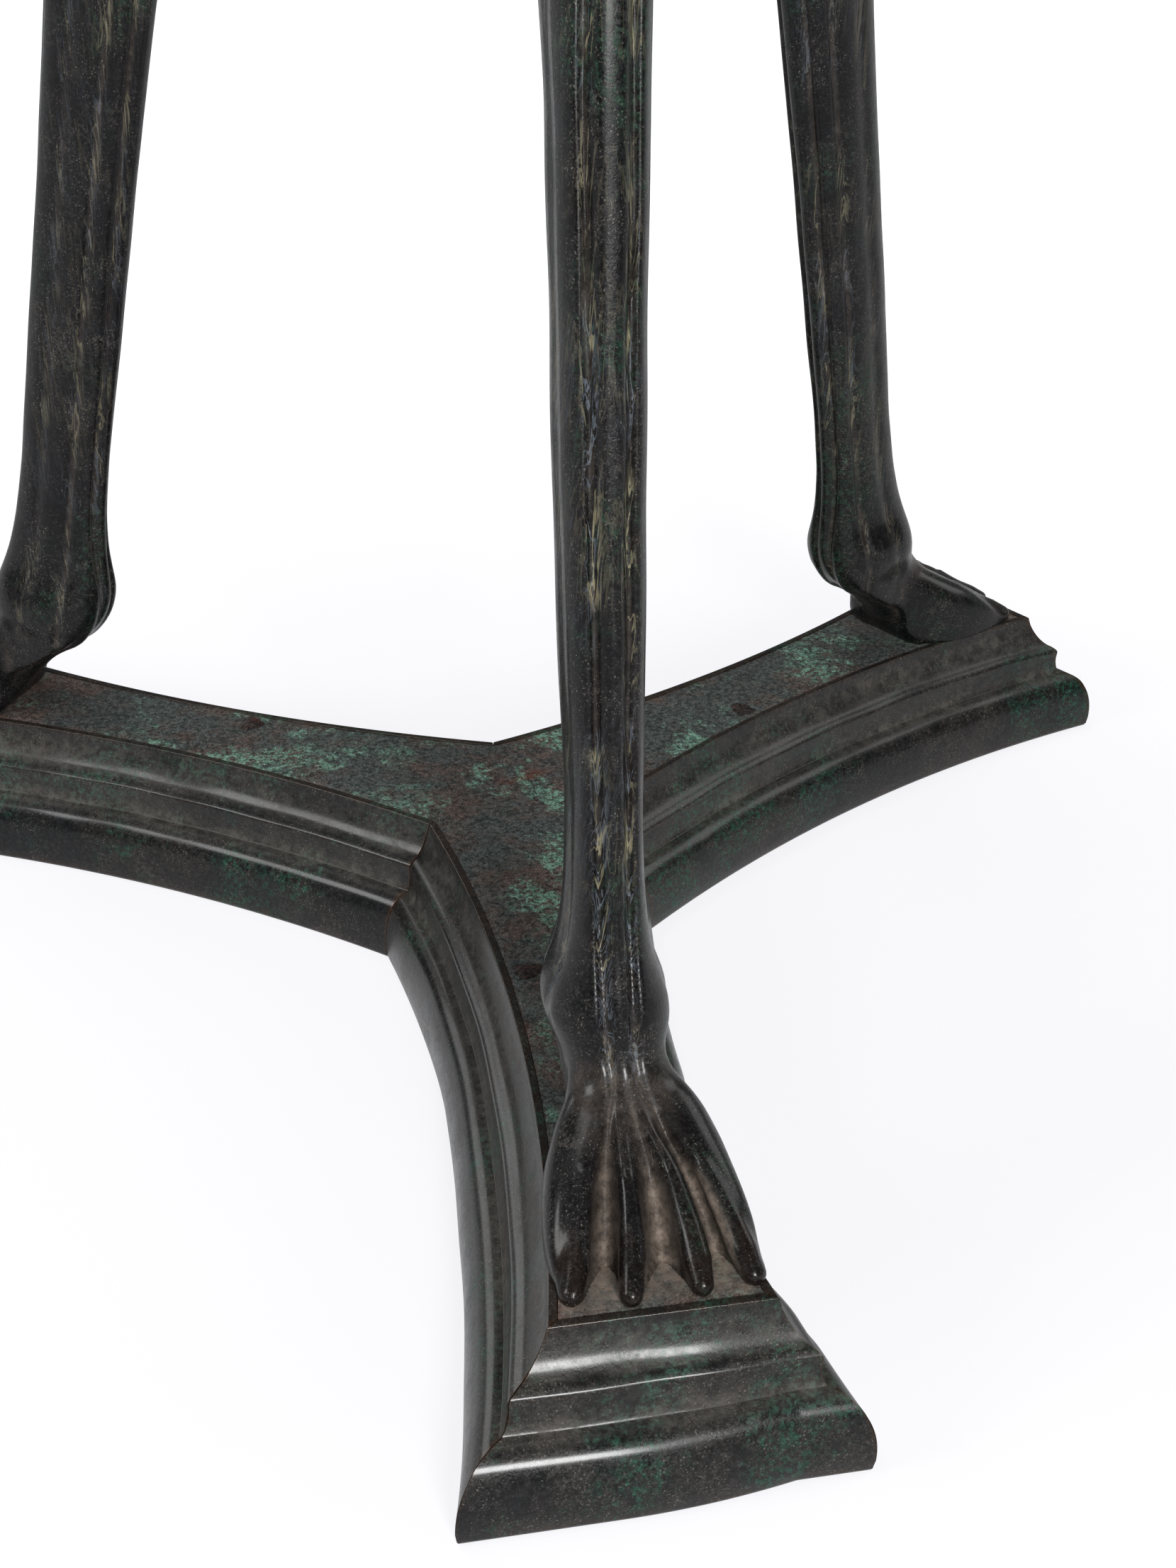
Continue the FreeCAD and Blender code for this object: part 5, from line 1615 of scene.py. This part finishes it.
@dataclass(frozen=True)
class Flutes:
    """Upright ribs round a turned form."""

    count: int
    depth: float
    low: float
    high: float
    pointed: float = 1.0

    def swell(self, turn: np.ndarray, height: np.ndarray) -> np.ndarray:
        """Return how far the ribs push the surface out at a turn and a height.

        Args:
            turn: angles in radians.
            height: heights.

        Returns:
            Distances, below zero between the ribs.
        """
        wave = np.abs(np.cos(0.5 * self.count * turn)) ** self.pointed
        edge = 0.18 * (self.high - self.low)
        inside = eased(self.low, self.low + edge, height) * eased(self.high, self.high - edge, height)
        return self.depth * (wave - 1) * inside


@dataclass
class Capital:
    """A leafy bell between a thigh and the hoop."""

    foot: float = THIGH_TOP
    tall: float = 36.0
    half: float = 24.0

    def build(self) -> None:
        """Build the capital of each arm."""
        def at(out: float, up: float) -> Point:
            """Return a point of the bell from shares of its half width and its height."""
            return out * self.half, self.foot + up * self.tall

        bell = [(0.05, self.foot + 0.01), (at(0.66, 0)[0], self.foot + 0.01), at(0.70, 0.03)]
        bell += bow(at(0.72, 0.05), at(0.78, 0.09), at(0.70, 0.14), 7) + [at(0.62, 0.15), at(0.57, 0.19)]
        bell += bow(at(0.56, 0.21), at(0.62, 0.55), at(0.90, 0.83), 18)
        bell += [at(0.92, 0.86), at(1.02, 0.87), at(1.03, 0.90), at(1.03, 0.97), at(1.0, 0.995)]
        bell += [(0.05, at(0, 0.995)[1])]
        leaves = Flutes(12, 3.0, at(0, 0.2)[1], at(0, 0.86)[1], pointed=0.55)
        points, faces = lathe(rounded(bell, 0.5), (HOOP_RADIUS, 0.0), 144, leaves)
        add_to_arms("leaf_capital", "capital", points, faces, CROWN, spread=2)


@dataclass
class Hoop:
    """The hoop that carries the bowl: two beaded, moulded rings and a fluted band."""

    radius: float = HOOP_RADIUS
    low: float = 792.0
    foot_tall: float = 10.0
    band_tall: float = 40.0
    around: int = 480
    bead_count: int = 240

    def beads(self, radius: float, height: float, size: float) -> Shell:
        """Return a row of beads round the hoop.

        Args:
            radius: how far from the axis their centres are.
            height: the height of their centres.
            size: the radius of a bead.

        Returns:
            The points and the faces.
        """
        turn = full_turn(12)
        rise = np.linspace(-0.5 * math.pi + 0.12, 0.5 * math.pi - 0.12, 8)[:, None]
        up = np.repeat(np.sin(rise), len(turn), 1)
        ball = size * np.stack([np.cos(rise) * np.cos(turn), np.cos(rise) * np.sin(turn), up], -1)
        angles = [2 * math.pi * index / self.bead_count for index in range(self.bead_count)]
        places = [(radius * math.cos(angle), radius * math.sin(angle), height) for angle in angles]
        return merged([tube(ball + np.array(place)) for place in places])

    def add_ring(self, name: str, node: str, outline: list[Point], beads: Shell) -> None:
        """Add one moulded ring with its row of beads.

        Args:
            name: the piece's name.
            node: the CAD node that it stands for.
            outline: the corners of its section.
            beads: the row of beads on it.
        """
        ring = lathe(rounded(outline, 0.4), (0, 0), self.around)
        add_piece(name, *merged([ring, beads]), CROWN, replaced=(node,), spread=1)

    def build(self) -> None:
        """Build the rings and the band."""
        r, z = self.radius, self.low
        foot = [(r - 11, z + 0.6), (r - 10.4, z), (r + 8.4, z), (r + 9.4, z + 0.6)]
        foot += bow((r + 9.6, z + 0.9), (r + 11.1, z + 3.4), (r + 9.4, z + 5.9), 9)
        foot += [(r + 8.2, z + 6.2), (r + 8.0, z + 7.6), (r + 5.4, z + 8.4)]
        foot += [(r + 4.9, z + self.foot_tall), (r - 11, z + self.foot_tall)]
        self.add_ring("hoop_lower_ring", "hoop_foot", foot, self.beads(r + 6.7, z + 8.0, 1.5))
        low = z + self.foot_tall
        high = low + self.band_tall
        band = [(r - 2.5, low), (r + 2.5, low)]
        band += [(r + 2.5, low + step) for step in np.linspace(1, self.band_tall - 1, 24)]
        band += [(r + 2.5, high), (r - 2.5, high)]
        points, faces = lathe(np.array(band), (0, 0), 1440, Flutes(120, 1.5, low + 5, high - 5, pointed=0.6))
        radius = np.hypot(points[:, 0], points[:, 1])
        inner = radius < r - 1.2
        points[inner, :2] *= ((r - 2.5) / radius[inner])[:, None]
        add_piece("hoop_fluted_band", points, faces, CROWN, replaced=("hoop_band",), spread=1)
        z = high
        head = [(r - 9, z), (r + 4.9, z), (r + 5.4, z + 1.2), (r + 7.2, z + 1.8), (r + 7.4, z + 3.2)]
        head += bow((r + 7.9, z + 3.6), (r + 9.1, z + 6.0), (r + 7.9, z + 8.4), 9)
        head += [(r + 7.0, z + 9.0), (r - 8.4, z + 9.0), (r - 9, z + 8.4)]
        self.add_ring("hoop_upper_ring", "hoop_head", head, self.beads(r + 6.4, z + 2.0, 1.4))


@dataclass
class Bowl:
    """The shallow bowl that lifts out of the hoop."""

    seat: float = 851.2
    radius: float = 187.0
    depth: float = 92.0
    wall: float = 2.6
    edge: float = 214.0
    rim: float = 4.0
    foot_share: float = 0.32

    def build(self) -> None:
        """Build the bowl from its section."""
        outer = (self.radius ** 2 + self.depth ** 2) / (2 * self.depth)
        centre = self.seat - self.depth + outer
        lip = self.seat + self.rim
        foot = self.foot_share * self.radius

        def at(reach: float, radius: float) -> Point:
            """Return a point of a sphere about the bowl's centre."""
            return reach, centre - math.sqrt(radius ** 2 - reach ** 2)

        floor = at(foot, outer)[1]
        seat, edge = self.seat, self.edge
        outline = [(0.05, floor + 0.3), (foot - 9, floor + 0.3), (foot - 7, floor), (foot - 1.5, floor)]
        outline += [(foot + 0.5, floor + 0.9)]
        outline += [at(reach, outer) for reach in np.linspace(foot + 4, self.radius - 1.5, 44)]
        outline += [(self.radius + 0.8, seat + 0.05), (edge - 3.5, seat + 0.05)]
        outline += bow((edge - 2.2, seat + 0.1), (edge + 0.2, seat + 2.0), (edge - 2.2, lip + 0.1), 11)
        outline += [(edge - 4.0, lip - 0.9), (edge - 6.0, lip - 0.6)]
        outline += [(self.radius + 9.0, lip - 0.7), (self.radius + 7.0, lip)]
        inner_lip = math.sqrt((outer - self.wall) ** 2 - (centre - lip) ** 2)
        outline += [(inner_lip + 2.4, lip), (inner_lip + 0.6, lip - 0.8)]
        outline += [at(reach, outer - self.wall) for reach in np.linspace(inner_lip - 1.5, foot, 44)]
        inner_floor = at(foot, outer - self.wall)[1]
        outline += [(foot - 6, inner_floor - 0.1), (0.05, inner_floor - 0.1)]
        points, faces = lathe(rounded(outline, 0.8), (0, 0), 360)
        points[:, 2] += 0.12 * ripple(points, 70.0, 91) * eased(self.seat - 2, self.seat - 20, points[:, 2])
        add_piece("bowl_shell", points, faces, BASIN, body=Body.BOWL, replaced=("bowl",))


# ---------------------------------------------------------------- the studio


@dataclass
class Studio:
    """The white floor, the soft lamps and the camera of the photograph."""

    position: tuple[float, float, float] = (-0.10240, -0.65489, 0.45978)
    right: tuple[float, float, float] = (0.98194, -0.18827, 0.01861)
    up: tuple[float, float, float] = (0.08270, 0.51561, 0.85283)
    forward: tuple[float, float, float] = (0.17015, 0.83589, -0.52186)
    lens: float = 47.33
    aim: tuple[float, float, float] = (0.0, 0.0, 0.3)
    floor_half: float = 12.0
    lamps: tuple = field(default_factory=lambda: (
        ("front_light", (0.12, -1.76, 0.84), 0.42, 25.0),
        ("left_softbox", (-1.6, -0.4, 1.0), 0.55, 9.0),
        ("right_softbox", (1.6, 0.3, 1.0), 0.8, 5.0),
        ("top_softbox", (-0.25, 0.25, 2.2), 1.2, 22.0),
        ("back_softbox", (-1.4, 1.9, 0.9), 1.0, 9.0),
    ))

    def build(self) -> None:
        """Set up the camera, the lamps, the floor and the world."""
        scene = bpy.context.scene
        data = bpy.data.cameras.new("camera")
        data.sensor_fit = "VERTICAL"
        data.sensor_height = 36.0
        data.lens = self.lens
        data.clip_start = 0.01
        camera = placed("camera", data)
        axes = Matrix((self.right, self.up, [-value for value in self.forward])).transposed()
        camera.matrix_world = Matrix.Translation(self.position) @ axes.to_4x4()
        scene.camera = camera
        for name, place, width, power in self.lamps:
            lamp = bpy.data.lights.new(name, "AREA")
            lamp.shape = "SQUARE"
            lamp.size = width
            lamp.energy = power
            carrier = placed(name, lamp)
            carrier.location = place
            carrier.rotation_euler = (Vector(self.aim) - Vector(place)).to_track_quat("-Z", "Y").to_euler()
        self.build_floor()
        self.build_world()
        scene.view_settings.view_transform = "Standard"

    def build_floor(self) -> None:
        """Lay a wide floor that looks white to the camera and keeps a faint shadow."""
        half = self.floor_half
        mesh = bpy.data.meshes.new("floor")
        corners = [(-half, -half, 0), (half, -half, 0), (half, half, 0), (-half, half, 0)]
        mesh.from_pydata(corners, [], [(0, 1, 2, 3)])
        floor = placed("floor", mesh)
        material, wiring = start_material("floor_white")
        seen = wiring.seen()
        mirrored = wiring.add("LightPath").outputs["Is Glossy Ray"]
        matt = wiring.add("BsdfDiffuse", {"Color": (0.83, 0.82, 0.87, 1.0)})
        place = wiring.add("TexCoord").outputs["Object"]
        distance = wiring.add("VectorMath", {0: place}, operation="LENGTH").outputs["Value"]
        strength = wiring.times(seen, wiring.ramp(distance, 0.20, 1.0, 1.11, 1.50))
        strength = wiring.plus(strength, wiring.times(mirrored, 0.62))
        glow = wiring.add("Emission", {"Color": (0.975, 0.975, 1.0, 1), "Strength": strength})
        share = wiring.plus(wiring.times(seen, 0.74), mirrored, True)
        blend = wiring.add("MixShader", {0: share, 1: matt.outputs[0], 2: glow.outputs[0]})
        wiring.add("OutputMaterial", {"Surface": blend.outputs[0]})
        mesh.materials.append(material)

    def build_world(self) -> None:
        """Fill the room with even pale light that looks white to the camera."""
        world = bpy.data.worlds.new("room")
        bpy.context.scene.world = world
        world.use_nodes = True
        wiring = Wiring(world.node_tree)
        strength = wiring.plus(wiring.times(wiring.seen(), 0.90), 0.10)
        glow = wiring.add("Background", {"Color": (1, 1, 1, 1), "Strength": strength})
        wiring.add("OutputWorld", {"Surface": glow.outputs[0]})


def main() -> None:
    """Build the studio and every sub-assembly in order."""
    plan = BasePlan()
    base = (Mouldings(plan), SheetPlate(plan), Fixings(plan))
    for part in (Studio(), *base, LowerLeg(), Thigh(), HockBand(), Tie(), Capital(), Hoop(), Bowl()):
        report.info("building %s", type(part).__name__)
        part.build()


if __name__ == "__main__":
    main()
